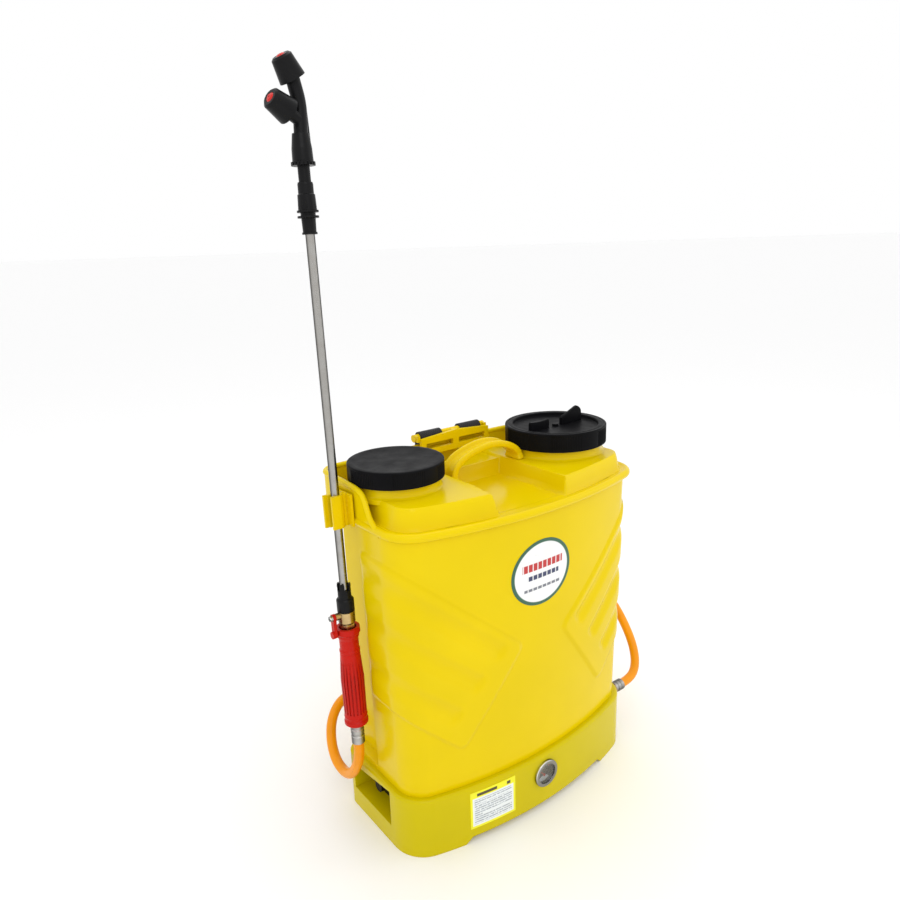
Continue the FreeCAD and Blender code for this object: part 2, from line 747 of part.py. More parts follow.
def groove_slot(side, tip_x, tip_z, depth):
    """A slot with a round end, seen from the front, that runs up and outward from its tip."""
    way = Vector(1, 0, groove_slope).normalize()
    across = Vector(-way.z, 0, way.x) * (groove_width / 2)
    tip = Vector(tip_x, -150, tip_z)
    far = tip + way * 200
    corners = [tip - across, far - across, far + across, tip + across]
    slot = prism([(side * point.x, point.y, point.z) for point in corners], depth)
    return slot.fuse(rod((side * tip_x, -150, tip_z), side_y, groove_width / 2, depth.y))


def rim():
    slab = rim_prism(rim_bottom, rim_top)
    return slab.makeFillet(rim_round, [edge for edge in slab.Edges if edge.BoundBox.ZLength < 0.01])


def flange():
    ring_wall = rim_prism(rim_top - 5, flange_top, 0.6)
    ring_wall = ring_wall.cut(rim_prism(rim_top - 6, flange_top + 1, flange_thick))
    left = -rim_half - 29
    side_view = prism([(left, -44, rim_top - 5), (left, -44, rim_top), (left, -31, rim_top + 4),
                       (left, -25, rim_top + 13), (left, -20, rim_top + 27), (left, -14, rim_top + 34),
                       (left, 4, flange_top - 1), (left, 60, flange_top), (left, rim_back + 34, flange_top),
                       (left, rim_back + 34, rim_top - 5)], Vector(-2 * left, 0, 0))
    end = rim_half - 45
    front_view = prism([(left, -60, rim_top - 5), (left, -60, flange_top), (end - 28, -60, flange_top),
                        (end - 10, -60, flange_top - 6), (end, -60, rim_top + 14),
                        (end + 12, -60, rim_top + 2), (end + 26, -60, rim_top - 5)],
                       Vector(0, rim_back + 114, 0))
    return ring_wall.common(side_view).common(front_view)


def block(x0, x1, top, inset):
    solid = rim_prism(rim_top - 4, top - inset, block_inset + inset, back=block_back + block_inset)
    solid = solid.common(box(x0 + inset, x1 - inset, -200, 200, 0, top))
    if inset > 0:
        return solid
    edges = [edge for edge in solid.Edges if edge.BoundBox.ZMin > top - 1]
    return solid.makeFillet(4, edges)


def blocks(inset):
    """The two raised blocks on top, under the mouths, and the step between them at the back."""
    rear = block(left_block_edge - 6, right_block_edge + 6, rear_block_top, inset)
    return [block(-body_half, left_block_edge, left_block_top, inset),
            block(right_block_edge, body_half, right_block_top, inset),
            rear.common(box(-body_half, body_half, rear_block_front + inset, body_back, 0, rim_top + 80))]


def tank_shell():
    fill_neck = rod((fill_x, fill_y, rim_top), side_z, fill_neck_radius, fill_neck_top - rim_top)
    well_neck = rod((well_x, well_y, rim_top), side_z, well_neck_radius, well_neck_top - rim_top)
    body = tank_body(0).cut(side_recess(0))
    outer = join(body, rim(), flange(), fill_neck, well_neck, *blocks(0), *panels())
    hollow = tank_body(wall).cut(side_recess(wall)).cut(box(-300, 300, -200, 200, 0, base_height + wall))
    hollow = hollow.cut(box(-300, 300, -200, 200, rim_top - wall, rim_top + 200))
    shell = outer.cut(hollow)
    for room in blocks(wall):
        shell = shell.cut(room)
    shell = shell.cut(rod((fill_x, fill_y, rim_top - 8), side_z, fill_neck_radius - neck_wall, 80))
    bore = well_neck_radius - neck_wall
    shelf = rim_top - wall
    mouth = rod((well_x, well_y, shelf), side_z, bore + wall, left_block_top - shelf)
    cup = rod((well_x, well_y, well_bottom), side_z, well_cup_radius, shelf + 1 - well_bottom)
    shell = join(shell, mouth, cup).cut(rod((well_x, well_y, rim_top), side_z, bore, 200))
    shell = shell.cut(rod((well_x, well_y, well_bottom + wall), side_z, well_cup_radius - wall, 200))
    pegs = [rod((x, y, base_height + wall / 2), side_z, boss_radius, screw_grip + 2)
            for x, y in boss_spots()]
    shell = join(shell, *pegs)
    for x, y in boss_spots():
        shell = shell.cut(rod((x, y, base_height - 1), side_z, screw_radius + seat_gap, screw_grip + 1.5))
    return shell.cut(rod((pump_x, suction_y, base_height - 1), side_z, pipe_radius + 2.3, wall + 2))


# ---- lids ----

def strainer():
    bore = fill_neck_radius - neck_wall
    top = fill_neck_top
    rim_flange = rod((fill_x, fill_y, top), side_z, fill_neck_radius - 0.5, strainer_flange)
    basket = cone((fill_x, fill_y, top - strainer_depth), side_z, bore - 8, bore - 1, strainer_depth)
    room = cone((fill_x, fill_y, top - strainer_depth + 2), side_z, bore - 10, bore - 3, strainer_depth)
    mouth = rod((fill_x, fill_y, top - 1), side_z, bore - 3, 10)
    body = join(rim_flange, basket).cut(room).cut(mouth)
    for turn in range(8):
        slot = box(fill_x + 20, fill_x + 80, fill_y - 9, fill_y + 9, top - strainer_depth + 8, top - 14)
        slot.rotate(Vector(fill_x, fill_y, 0), side_z, 45 * turn)
        body = body.cut(slot)
    return body


def seal_bottom(neck_top):
    return neck_top + running_gap


def fill_seal():
    bottom = seal_bottom(fill_neck_top + strainer_flange)
    return ring((fill_x, fill_y, bottom), side_z, fill_neck_radius - 0.6, fill_neck_radius - 9, seal_thick)


def fill_lid():
    plate_bottom = seal_bottom(fill_neck_top + strainer_flange) + seal_thick + running_gap
    dish = plate_bottom + lid_plate
    inner = fill_neck_radius + 0.45
    profile = [(0, plate_bottom), (0, dish), (fill_lid_ring, dish), (fill_lid_ring, fill_lid_top - 0.8),
               (fill_lid_ring + 0.8, fill_lid_top), (fill_lid_radius - 1.4, fill_lid_top),
               (fill_lid_radius, fill_lid_top - 1.4), (fill_lid_radius, fill_lid_bottom),
               (inner, fill_lid_bottom), (inner, plate_bottom)]
    lid = turned(profile, (fill_x, fill_y))
    low_wing = box(fill_x - 46, fill_x - 14, fill_y - 2.6, fill_y + 2.6, dish - 0.5, dish + 12)
    low_wing = softened(low_wing, 1.2, lambda size, edge: size.ZMax > dish + 5)
    high_wing = prism([(fill_x + 10, fill_y - 2.6, dish - 0.5), (fill_x + 10, fill_y - 2.6, dish + 10),
                       (fill_x + 40, fill_y - 2.6, dish + 21.5), (fill_x + 46, fill_y - 2.6, dish + 18),
                       (fill_x + 47, fill_y - 2.6, dish - 0.5)], Vector(0, 5.2, 0))
    high_wing = softened(high_wing, 1.2, lambda size, edge: size.ZMax > dish + 5 and size.YLength < 1)
    lid = join(lid, low_wing, high_wing)
    return lid.cut(rod((fill_x, fill_y, plate_bottom - 1), side_z, vent_radius, 12))


def breather_valve():
    plate_bottom = seal_bottom(fill_neck_top + strainer_flange) + seal_thick + running_gap
    dish = plate_bottom + lid_plate
    cap = softened(rod((fill_x, fill_y, dish + running_gap), side_z, 4.4, 2.6), 0.8,
                   lambda size, edge: size.ZMin > dish + 2)
    stem = rod((fill_x, fill_y, plate_bottom - 3), side_z, vent_radius - shaft_gap, lid_plate + 4)
    bulb = rod((fill_x, fill_y, plate_bottom - 3.4), side_z, 3, 1.6)
    return join(cap, stem, bulb)


def accessory_seal():
    return ring((well_x, well_y, seal_bottom(well_neck_top)), side_z, well_neck_radius - 0.4,
                well_neck_radius - 8, seal_thick)


def accessory_lid():
    plate_bottom = seal_bottom(well_neck_top) + seal_thick + running_gap
    inner = well_neck_radius + 0.45
    profile = [(0, plate_bottom), (0, well_lid_top), (well_lid_radius - 1.6, well_lid_top),
               (well_lid_radius, well_lid_top - 1.6), (well_lid_radius, well_lid_bottom),
               (inner, well_lid_bottom), (inner, plate_bottom)]
    return turned(profile, (well_x, well_y))


# ---- handle, hanger and clip on top ----

def carry_handle():
    points = [(x, 0, z) for x, z in handle_route]
    path = rounded_path(points)

    def section(thick, width, shift):
        x, z = handle_route[0]
        left, right = x + shift - thick / 2, x + shift + thick / 2
        corners = [Vector(left, -width / 2, z), Vector(right, -width / 2, z),
                   Vector(right, width / 2, z), Vector(left, width / 2, z)]
        return path.makePipeShell([Part.makePolygon(corners + corners[:1])], True, False)

    arch = section(handle_thick, handle_width, 0)
    arch = softened(arch, 1.4, lambda size, edge: size.YLength < 0.01)
    return arch.cut(section(handle_thick * 0.62, handle_groove, handle_thick * 0.32))


def strap_hanger():
    plate_back = hanger_rod_y - hanger_rod_radius - running_gap - strap_thick - 0.5
    front = plate_back - hanger_plate_thick
    crown = hanger_rod_z + 4.5
    plate = prism([(hanger_left + 4, front, rim_top), (hanger_left + 4, front, hanger_rod_z),
                   (hanger_middle, front, crown), (hanger_right, front, hanger_rod_z),
                   (hanger_right, front, rim_top)], Vector(0, hanger_plate_thick, 0))
    windows = [box(hanger_left + 12, hanger_middle - 5, 50, 100, rim_top + 34, hanger_rod_z - 7),
               box(hanger_middle + 5, hanger_right - 7, 50, 100, rim_top + 34, hanger_rod_z - 7)]
    for window in windows:
        plate = plate.cut(window)
    plate = plate.cut(box(hanger_left + 12, hanger_right - 7, 50, 100, rim_top + 6, rim_top + 26))
    length = hanger_right - hanger_left
    bar = rod((hanger_left, hanger_rod_y, hanger_rod_z), side_x, hanger_rod_radius, length)
    webs = [box(x - 2, x + 2, plate_back - 1, hanger_rod_y, hanger_rod_z - 4, hanger_rod_z + 4)
            for x in (hanger_left + 3, hanger_middle, hanger_right - 3)]
    foot = box(hanger_left + 4, hanger_right, front - 6, plate_back, rim_top, rim_top + 3)
    return join(plate, bar, foot, *webs)


def lance_clip():
    low = rim_bottom - lance_z
    high = low + 38
    centre = -lance_x - rim_half
    pad = box(0, 3, -14, 32, low, high)
    pad.translate(Vector(centre - 3, 0, 0))
    hoop = ring((0, 0, low), side_z, tube_radius + 3.6, tube_radius + 0.15, high - low)
    neck = box(tube_radius + 0.6, centre - 1, -3.5, 3.5, low, high)
    neck = neck.cut(rod((0, 0, low - 1), side_z, tube_radius + 0.15, 50))
    gap = box(-30, -2, -3.6, 3.6, low - 1, high + 1)
    front_blade = box(-9, 2, -tube_radius - 3.6, -tube_radius - 0.2, low, high)
    rear_blade = box(-12, 2, tube_radius + 0.2, tube_radius + 3.4, low, high)
    shape = join(pad, hoop, neck, front_blade, rear_blade).cut(gap)
    shape = shape.cut(rod((0, 0, low - 1), side_z, tube_radius + 0.15, 50))
    return on_lance(shape)


# ---- lance ----

def on_lance(shape):
    """Carries a piece made with the grip's lower end at the origin to its place on the lance."""
    placed = shape.copy()
    placed.rotate(Vector(0, 0, 0), side_x, -lance_lean)
    placed.translate(Vector(lance_x, lance_y, lance_z))
    return placed


def lathe(profile):
    """A piece of the lance, turned from (radius, height) corners."""
    return turned(profile, (0, 0))


def grip_clamp():
    shape = lathe([(0, -crimp_length), (0, -0.6), (crimp_radius, -0.6), (crimp_radius, -4),
                   (crimp_radius - 1, -5), (crimp_radius - 1, -7), (crimp_radius, -8), (crimp_radius, -13),
                   (crimp_radius - 1, -14), (crimp_radius - 1, -16), (crimp_radius, -17),
                   (crimp_radius, -crimp_length)])
    return on_lance(shape)


def hose_tail():
    return on_lance(ring((0, 0, -0.5), side_z, tail_radius, tail_radius - 1.2, valve_start))


def grip():
    top = grip_length
    bulge = grip_radius + grip_swell
    mouth = valve_hexagon + 0.9
    profile = [(tail_radius + seat_gap, 0), (grip_flange - 2, 0), (grip_flange, 2), (grip_flange, 6),
               (grip_flange - 1.2, 7.5), (grip_flange - 1.2, 10), (grip_flange - 0.3, 12),
               (bulge - 0.5, 16), (bulge, top - 66), (grip_radius + 0.5, top - 34),
               (grip_radius + 0.1, top - 32), (grip_radius + 0.8, top - 31), (grip_radius + 0.8, top - 28.5),
               (grip_radius, top - 27), (grip_radius, top - 15), (grip_flange - 1.6, top - 11),
               (grip_flange - 1.6, top - 8.5), (grip_flange, top - 6.5), (grip_flange - 0.4, top),
               (mouth, top), (mouth, valve_start - seat_gap),
               (tail_radius + seat_gap, valve_start - seat_gap)]
    body = lathe(profile)
    for turn in range(20):
        groove = box(grip_radius + 0.8, grip_flange + 2, -0.8, 0.8, 17, top - 36)
        groove.rotate(Vector(0, 0, 0), side_z, 18 * turn)
        body = body.cut(groove)
    return on_lance(body)


def valve_body():
    low, high = valve_start, valve_start + valve_length
    hexagon = prism([(valve_hexagon * math.cos(turn * math.pi / 3),
                      valve_hexagon * math.sin(turn * math.pi / 3), low) for turn in range(6)],
                    Vector(0, 0, 15))
    barrel = lathe([(0, low + 14), (valve_radius - 1.2, low + 14), (valve_radius, low + 16),
                    (valve_radius, high - 1), (valve_radius - 1, high), (0, high)])
    boss = rod((0, 0, lever_height), Vector(-1, 0, 0), 4.2, lever_offset - running_gap)
    shaft_hole = rod((-4, 0, lever_height), Vector(-1, 0, 0), 2 + shaft_gap, 20)
    bore = rod((0, 0, low - 1), side_z, 2.5, valve_length + 2)
    return on_lance(join(hexagon, barrel, boss).cut(shaft_hole).cut(bore))


def valve_lever():
    centre = (-lever_offset, 0, lever_height)
    eye = rod(centre, Vector(-1, 0, 0), 4.6, lever_thick)
    arm = box(-lever_offset - lever_thick, -lever_offset, -3.6, 3.6, lever_height - 21, lever_height)
    thumb = rod((-lever_offset, 0, lever_height - 21), Vector(-1, 0, 0), 4.4, lever_thick + 2)
    shape = join(eye, arm, thumb)
    return on_lance(shape.cut(rod((0, 0, lever_height), Vector(-1, 0, 0), 2 + seat_gap, 30)))


def lever_screw():
    start = lever_offset + lever_thick
    shaft = rod((-6, 0, lever_height), Vector(-1, 0, 0), 2, start - 5)
    washer = rod((-start, 0, lever_height), Vector(-1, 0, 0), 3.8, 0.8)
    head = softened(rod((-start - 0.8, 0, lever_height), Vector(-1, 0, 0), 3.2, 2.8), 0.9,
                    lambda size, edge: size.XMax < -start - 3)
    slot = box(-start - 5, -start - 2.6, -4, 4, lever_height - 0.5, lever_height + 0.5)
    return on_lance(join(shaft, washer, head).cut(slot))


def lance_sleeve():
    start = valve_start + valve_length + seat_gap
    bore = tube_radius + seat_gap
    nut, neck, end = sleeve_nut_radius, tube_radius + 2.8, start + sleeve_length
    shape = lathe([(bore, start), (nut, start), (nut, start + 14), (nut - 1, start + 15.5),
                   (neck + 0.2, start + 16.5), (neck, end - 5), (neck + 0.3, end - 3), (neck, end),
                   (bore, end)])
    notches = [box(-20, 20, -3, 3, end - 8, end + 2), box(-3, 3, -20, 20, end - 8, end + 2)]
    for notch in notches:
        shape = shape.cut(notch)
    return on_lance(shape)


def lance_tube():
    start = valve_start + valve_length + seat_gap
    return on_lance(ring((0, 0, start), side_z, tube_radius, tube_radius - 0.8, tube_top - start))


def tube_collar():
    bore = tube_radius + seat_gap
    socket = stem_radius + 0.4
    neck = socket + 1.1
    shape = lathe([(bore, collar_start), (7.8, collar_start), (7.8, collar_start + 2),
                   (6.9, collar_start + 2.4), (7.3, collar_top - 2.4), (10.9, collar_top - 2),
                   (10.9, collar_top), (neck, collar_top),
                   (neck, collar_top + 14), (socket, collar_top + 14), (socket, tube_top + seat_gap),
                   (bore, tube_top + seat_gap)])
    return on_lance(shape)


def coupling_nut():
    neck = stem_radius + 0.4 + 1.1 + running_gap
    wide = collar_top + 14 + running_gap
    shape = lathe([(neck, nut_start), (11, nut_start), (11, nut_start + 2), (nut_radius, nut_start + 2.4),
                   (nut_radius - 0.6, nut_start + 17), (7.9, nut_start + 18), (7.9, nut_start + 27),
                   (7.4, nut_start + nut_length), (stem_radius + running_gap, nut_start + nut_length),
                   (stem_radius + running_gap, wide), (neck, wide)])
    for turn in range(12):
        flute = rod((nut_radius + 0.6, 0, nut_start + 3.4), side_z, 1.1, 13)
        flute.rotate(Vector(0, 0, 0), side_z, 30 * turn)
        shape = shape.cut(flute)
    return on_lance(shape)


def nozzle_stem():
    length = head_start + 2 - stem_start
    return on_lance(ring((0, 0, stem_start), side_z, stem_radius, stem_radius - 2.4, length))


def on_head(shape):
    """Turns the head about the lance, so that its nozzles face a little forward."""
    faced = shape.copy()
    faced.rotate(Vector(0, 0, 0), side_z, head_turn)
    return on_lance(faced)


def nozzle_head():
    skirt = lathe([(stem_radius + seat_gap, head_start), (12.2, head_start), (12.2, head_start + 3.4),
                   (10.6, head_start + 4), (10.2, head_start + 16), (8.4, head_start + 30),
                   (0, head_start + 30), (0, head_start + 2.2), (stem_radius + seat_gap, head_start + 2.2)])
    for turn in range(20):
        notch = box(11.2, 14, -0.7, 0.7, head_start - 1, head_start + 2.4)
        notch.rotate(Vector(0, 0, 0), side_z, 18 * turn)
        skirt = skirt.cut(notch)
    foot = (0.5, 0, head_start + 26)
    bend = (2.5, 0, head_start + 58)
    seat = tuple(upper_seat)
    path = rounded_path([foot, bend, seat])
    circle = Part.makeCircle(thread_radius, Vector(*foot), Vector(*bend) - Vector(*foot))
    stalk = path.makePipeShell([Part.Wire(circle)], True, False)
    rib = prism([(6, -1.6, head_start + 14), (11, -1.6, head_start + 20), (9.4, -1.6, head_start + 60),
                 (3, -1.6, head_start + 74), (0, -1.6, head_start + 60)], Vector(0, 3.2, 0))
    upper = rod(tuple(upper_seat), upper_way, thread_radius, thread_length)
    branch_start = lower_seat - lower_way * 13
    branch = rod(tuple(branch_start), lower_way, 6.4, 13)
    lower = rod(tuple(lower_seat), lower_way, thread_radius, thread_length)
    return on_head(join(skirt, stalk, rib, upper, branch, lower))


def nozzle_cap(seat, way):
    start = seat + way * running_gap
    body = cone(tuple(start), way, cap_base_radius, cap_top_radius, cap_length - 2)
    crown = cone(tuple(start + way * (cap_length - 2)), way, cap_top_radius, cap_top_radius - 2.4, 2)
    bore = rod(tuple(start - way), way, thread_radius + running_gap, thread_length + 1.6)
    mouth = rod(tuple(start), way, tip_radius + seat_gap, cap_length + 2)
    return on_head(join(body, crown).cut(bore).cut(mouth))


def nozzle_tip(seat, way):
    start = seat + way * (thread_length + running_gap + 0.8)
    length = cap_length - thread_length - 1.2
    plug = rod(tuple(start), way, tip_radius, length)
    dome = cone(tuple(start + way * length), way, tip_radius, tip_radius - 2.2, 1.4)
    hole = rod(tuple(start - way), way, 0.9, 20)
    return on_head(join(plug, dome).cut(hole))


# ---- spray hose and straps ----

def spray_hose():
    end = on_lance(Part.Vertex(0, 0, -crimp_length)).Point
    return tube(hose_route + [tuple(end)], hose_radius, "spray hose")


def strap_stations(side, top_x):
    """(x, y, z, width, thickness) along one shoulder strap, from the hanger down to the buckle."""
    y, z = hanger_rod_y + hanger_rod_radius, hanger_rod_z
    return [(top_x, y + 2.4, z - 6, 34, 2.4), (top_x + side, y + 4, z - 22, 36, 3),
            (top_x + side * 6, y + 11, z - 44, 50, 9), (side * 52, y + 26, z - 98, 52, 12),
            (side * 76, y + 39, z - 158, 52, 12), (side * 96, y + 43, z - 218, 50, 12),
            (side * 110, y + 40, z - 262, 44, 9), (side * 114, y + 38, z - 274, 30, 3)]


def strap_solid(stations):
    """Boxes with slanted sides, each between two stations, joined into one strap."""
    wires = []
    for x, y, z, width, thick in stations:
        corners = [Vector(x - width / 2, y - thick / 2, z), Vector(x + width / 2, y - thick / 2, z),
                   Vector(x + width / 2, y + thick / 2, z), Vector(x - width / 2, y + thick / 2, z)]
        wires.append(Part.makePolygon(corners + corners[:1]))
    return Part.makeLoft(wires, True, True)


def shoulder_strap(side):
    top_x = strap_centres[0] if side < 0 else strap_centres[1]
    inner = hanger_rod_radius + running_gap
    left = top_x - loop_width / 2
    loop = ring((left, hanger_rod_y, hanger_rod_z), side_x, inner + strap_thick, inner, loop_width)
    back = hanger_rod_y + hanger_rod_radius
    tail = box(top_x - 17, top_x + 17, back + 1.2, back + 3.6, hanger_rod_z - 6, hanger_rod_z)
    loop = join(loop, tail.cut(rod((left - 1, hanger_rod_y, hanger_rod_z), side_x, inner + 0.2, 80)))
    return join(strap_solid(strap_stations(side, top_x)), loop)


def strap_webbing():
    top = Vector(115.5, hanger_rod_y + hanger_rod_radius + 36.5, hanger_rod_z - 282)
    foot = Vector(hook_x, body_back + 7, hook_top)
    spots = [(top.x + (foot.x - top.x) * across, top.y + (foot.y - top.y) * back,
              top.z + (foot.z - top.z) * down) for across, back, down in webbing_shares]
    bands = []
    for side in (-1, 1):
        stations = [(side * x, y, z, webbing_width, webbing_thick) for x, y, z in spots]
        bands.append(strap_solid(stations))
    return Part.makeCompound(bands)


def strap_buckles():
    low = hanger_rod_z - 282
    back = hanger_rod_y + hanger_rod_radius + 37.5
    buckles = []
    for side in (-1, 1):
        frame = box(side * 115 - 18, side * 115 + 18, back - 3.5, back + 3.5, low, low + 8)
        slot = box(side * 115 - 13, side * 115 + 13, back - 5, back + 5, low + 2.5, low + 5.5)
        buckles.append(frame.cut(slot))
    return Part.makeCompound(buckles)


def strap_hooks():
    hooks = []
    for side in (-1, 1):
        x = side * hook_x
        lug = box(x - 17, x + 17, body_back, body_back + 10, 22, hook_top)
        slot = box(x - 11, x + 11, body_back + 3, body_back + 11, 28, 36)
        hooks.append(lug.cut(slot))
    return Part.makeCompound(hooks)


def build_all():
    """Every node's name with its solid."""
    return {
        "tank_shell": tank_shell(), "base_shell": base_shell(), "base_hatch": base_hatch(),
        "hatch_screws": hatch_screws(), "base_screws": base_screws(), "carry_handle": carry_handle(),
        "strap_hanger": strap_hanger(), "lance_clip": lance_clip(), "strainer": strainer(),
        "battery": battery(), "battery_strap": battery_strap(), "pump_motor": pump_motor(),
        "motor_shaft": motor_shaft(), "pump_head": pump_head(), "tank_outlet": tank_outlet(),
        "suction_elbow": suction_elbow(), "pressure_hose": pressure_hose(), "outlet_barb": outlet_barb(),
        "gauge_body": gauge_body(), "gauge_face": gauge_face(), "gauge_needle": gauge_needle(),
        "gauge_lens": gauge_lens(), "gauge_bezel": gauge_bezel(), "control_panel": control_panel(),
        "switch_housing": switch_housing(), "rocker": rocker(), "speed_knob": speed_knob(),
        "speed_control": speed_control(), "charge_socket": charge_socket(), "wiring": wiring(),
        "front_label": front_label(), "notice_label": notice_label(), "spray_hose": spray_hose(),
        "outlet_clamp": outlet_clamp(), "grip_clamp": grip_clamp(), "hose_tail": hose_tail(),
        "grip": grip(),
        "valve_body": valve_body(), "valve_lever": valve_lever(), "lever_screw": lever_screw(),
        "lance_sleeve": lance_sleeve(), "lance_tube": lance_tube(), "tube_collar": tube_collar(),
        "coupling_nut": coupling_nut(), "nozzle_stem": nozzle_stem(), "nozzle_head": nozzle_head(),
        "upper_cap": nozzle_cap(upper_seat, upper_way), "upper_tip": nozzle_tip(upper_seat, upper_way),
        "lower_cap": nozzle_cap(lower_seat, lower_way), "lower_tip": nozzle_tip(lower_seat, lower_way),
        "fill_lid": fill_lid(), "fill_seal": fill_seal(), "breather_valve": breather_valve(),
        "accessory_lid": accessory_lid(), "accessory_seal": accessory_seal(),
        "shoulder_strap_left": shoulder_strap(-1), "shoulder_strap_right": shoulder_strap(1),
        "strap_webbing": strap_webbing(), "strap_buckles": strap_buckles(), "strap_hooks": strap_hooks(),
    }


os.makedirs("parts", exist_ok=True)
for name, shape in build_all().items():
    print(name, len(shape.Solids), "solids", round(shape.Volume / 1000, 2), "cm3, valid", shape.isValid())
    shape.exportStep("parts/" + name + ".step")
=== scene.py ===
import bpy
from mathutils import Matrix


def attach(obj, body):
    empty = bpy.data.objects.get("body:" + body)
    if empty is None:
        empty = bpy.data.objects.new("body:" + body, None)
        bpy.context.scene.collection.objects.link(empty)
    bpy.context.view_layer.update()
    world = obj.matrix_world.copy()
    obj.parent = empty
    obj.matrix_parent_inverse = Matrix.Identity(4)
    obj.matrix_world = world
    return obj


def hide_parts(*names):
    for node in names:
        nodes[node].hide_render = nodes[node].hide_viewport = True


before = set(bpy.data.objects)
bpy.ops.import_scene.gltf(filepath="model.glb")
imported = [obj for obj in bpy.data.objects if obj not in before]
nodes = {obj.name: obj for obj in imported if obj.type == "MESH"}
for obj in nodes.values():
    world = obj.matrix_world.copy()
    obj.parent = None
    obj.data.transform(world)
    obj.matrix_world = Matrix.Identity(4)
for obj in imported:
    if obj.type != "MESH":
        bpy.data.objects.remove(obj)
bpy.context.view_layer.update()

import math

import bmesh
import bpy
from mathutils import Matrix, Vector

# Knapsack sprayer: metres, +Z up, front towards -Y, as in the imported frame.
mm = 0.001
print("frame loaded:", len(nodes), "nodes")


# main camera, with its place in metres and its angles in degrees
cameraSetup = {"place": (-0.5695, -0.6990, 0.7196), "yaw": 36.56, "pitch": 15.99, "roll": -1.90,
               "lens": 29.86}


def placed(name, data):
    item = bpy.data.objects.new(name, data)
    bpy.context.collection.objects.link(item)
    return item


def makeCamera(setup):
    yaw, pitch, roll = (math.radians(setup[key]) for key in ("yaw", "pitch", "roll"))
    ahead = Vector((math.sin(yaw) * math.cos(pitch), math.cos(yaw) * math.cos(pitch), -math.sin(pitch)))
    right = Vector((math.cos(yaw), -math.sin(yaw), 0.0))
    up = right.cross(ahead)
    rolledRight = right * math.cos(roll) + up * math.sin(roll)
    rolledUp = up * math.cos(roll) - right * math.sin(roll)
    data = bpy.data.cameras.new("camera")
    data.lens = setup["lens"]
    data.sensor_width = 36.0
    data.clip_end = 50.0
    camera = placed("camera", data)
    axes = Matrix((rolledRight, rolledUp, -ahead)).transposed().to_4x4()
    camera.matrix_world = Matrix.Translation(setup["place"]) @ axes
    bpy.context.scene.camera = camera


makeCamera(cameraSetup)


def makePiece(name, verts, faces, body, slotName, material, sharp=40.0, uvs=None):
    # a new object from points in metres, smooth but for edges sharper than the given angle
    mesh = bpy.data.meshes.new(name)
    mesh.from_pydata([tuple(point) for point in verts], [], faces)
    if uvs:
        layer = mesh.uv_layers.new(name="run")
        for loop in mesh.loops:
            layer.data[loop.index].uv = uvs[loop.vertex_index]
    piece = placed(name, mesh)
    finishMesh(piece, sharp)
    mesh.materials.append(material)
    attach(piece, body)
    return piece


def finishMesh(piece, sharp):
    shape = bmesh.new()
    shape.from_mesh(piece.data)
    bmesh.ops.remove_doubles(shape, verts=shape.verts, dist=1e-6)
    bmesh.ops.recalc_face_normals(shape, faces=shape.faces)
    shape.to_mesh(piece.data)
    shape.free()
    for face in piece.data.polygons:
        face.use_smooth = True
    piece.data.set_sharp_from_angle(angle=math.radians(sharp))


def lathed(profile, centre=(0.0, 0.0), sides=96, wobble=None):
    # profile of (radius, height) in mm turned about a vertical line, ends on the axis closed
    verts, faces, rows = [], [], []
    for radius, height in profile:
        if radius < 1e-4:
            rows.append([len(verts)] * sides)
            verts.append((centre[0], centre[1], height))
            continue
        row = []
        for step in range(sides):
            angle = 2 * math.pi * step / sides
            reach = radius + (wobble(angle, radius, height) if wobble else 0.0)
            row.append(len(verts))
            verts.append((centre[0] + reach * math.cos(angle), centre[1] + reach * math.sin(angle),
                          height))
        rows.append(row)
    for low, high in zip(rows, rows[1:]):
        for step in range(sides):
            after = (step + 1) % sides
            corners = [low[step], low[after], high[after], high[step]]
            corners = [c for i, c in enumerate(corners) if c != corners[i - 1]]
            if len(corners) > 2:
                faces.append(corners)
    if profile[0][0] > 1e-4 and profile[-1][0] > 1e-4:
        for step in range(sides):
            after = (step + 1) % sides
            faces.append([rows[-1][step], rows[-1][after], rows[0][after], rows[0][step]])
    return verts, faces


def pathFrames(points, up=None):
    # a tangent, a side and an up direction at each point, carried along without twisting
    tangents = []
    for index in range(len(points)):
        before = points[max(index - 1, 0)]
        after = points[min(index + 1, len(points) - 1)]
        tangents.append((after - before).normalized())
    side = tangents[0].cross(up or Vector((0, 0, 1)))
    if side.length < 0.05:
        side = tangents[0].cross(Vector((0, 1, 0)))
    side.normalize()
    frames = []
    for tangent in tangents:
        side = (side - tangent * side.dot(tangent)).normalized()
        frames.append((tangent, side, side.cross(tangent).normalized()))
    return frames


def tubeFaces(rings, sides):
    # quads from each ring of corners to the next, and a cap at each end
    faces = []
    for ring in range(rings - 1):
        low, high = ring * sides, (ring + 1) * sides
        for step in range(sides):
            after = (step + 1) % sides
            faces.append([low + step, low + after, high + after, high + step])
    last = (rings - 1) * sides
    return faces + [list(range(sides))[::-1], list(range(last, last + sides))]


def swept(points, section, up=None):
    # section(index, share) gives the outline's corners as (side, up) offsets
    verts, uvs = [], []
    travelled = 0.0
    for index, (point, (tangent, side, rise)) in enumerate(zip(points, pathFrames(points, up))):
        if index:
            travelled += (point - points[index - 1]).length
        outline = section(index, index / (len(points) - 1))
        for step, (across, above) in enumerate(outline):
            verts.append(point + side * across + rise * above)
            uvs.append((step / len(outline), travelled))
    return verts, tubeFaces(len(points), len(outline)), uvs


def circleSection(radius, sides=24):
    angles = [2 * math.pi * step / sides for step in range(sides)]
    return [(radius * math.cos(angle), radius * math.sin(angle)) for angle in angles]


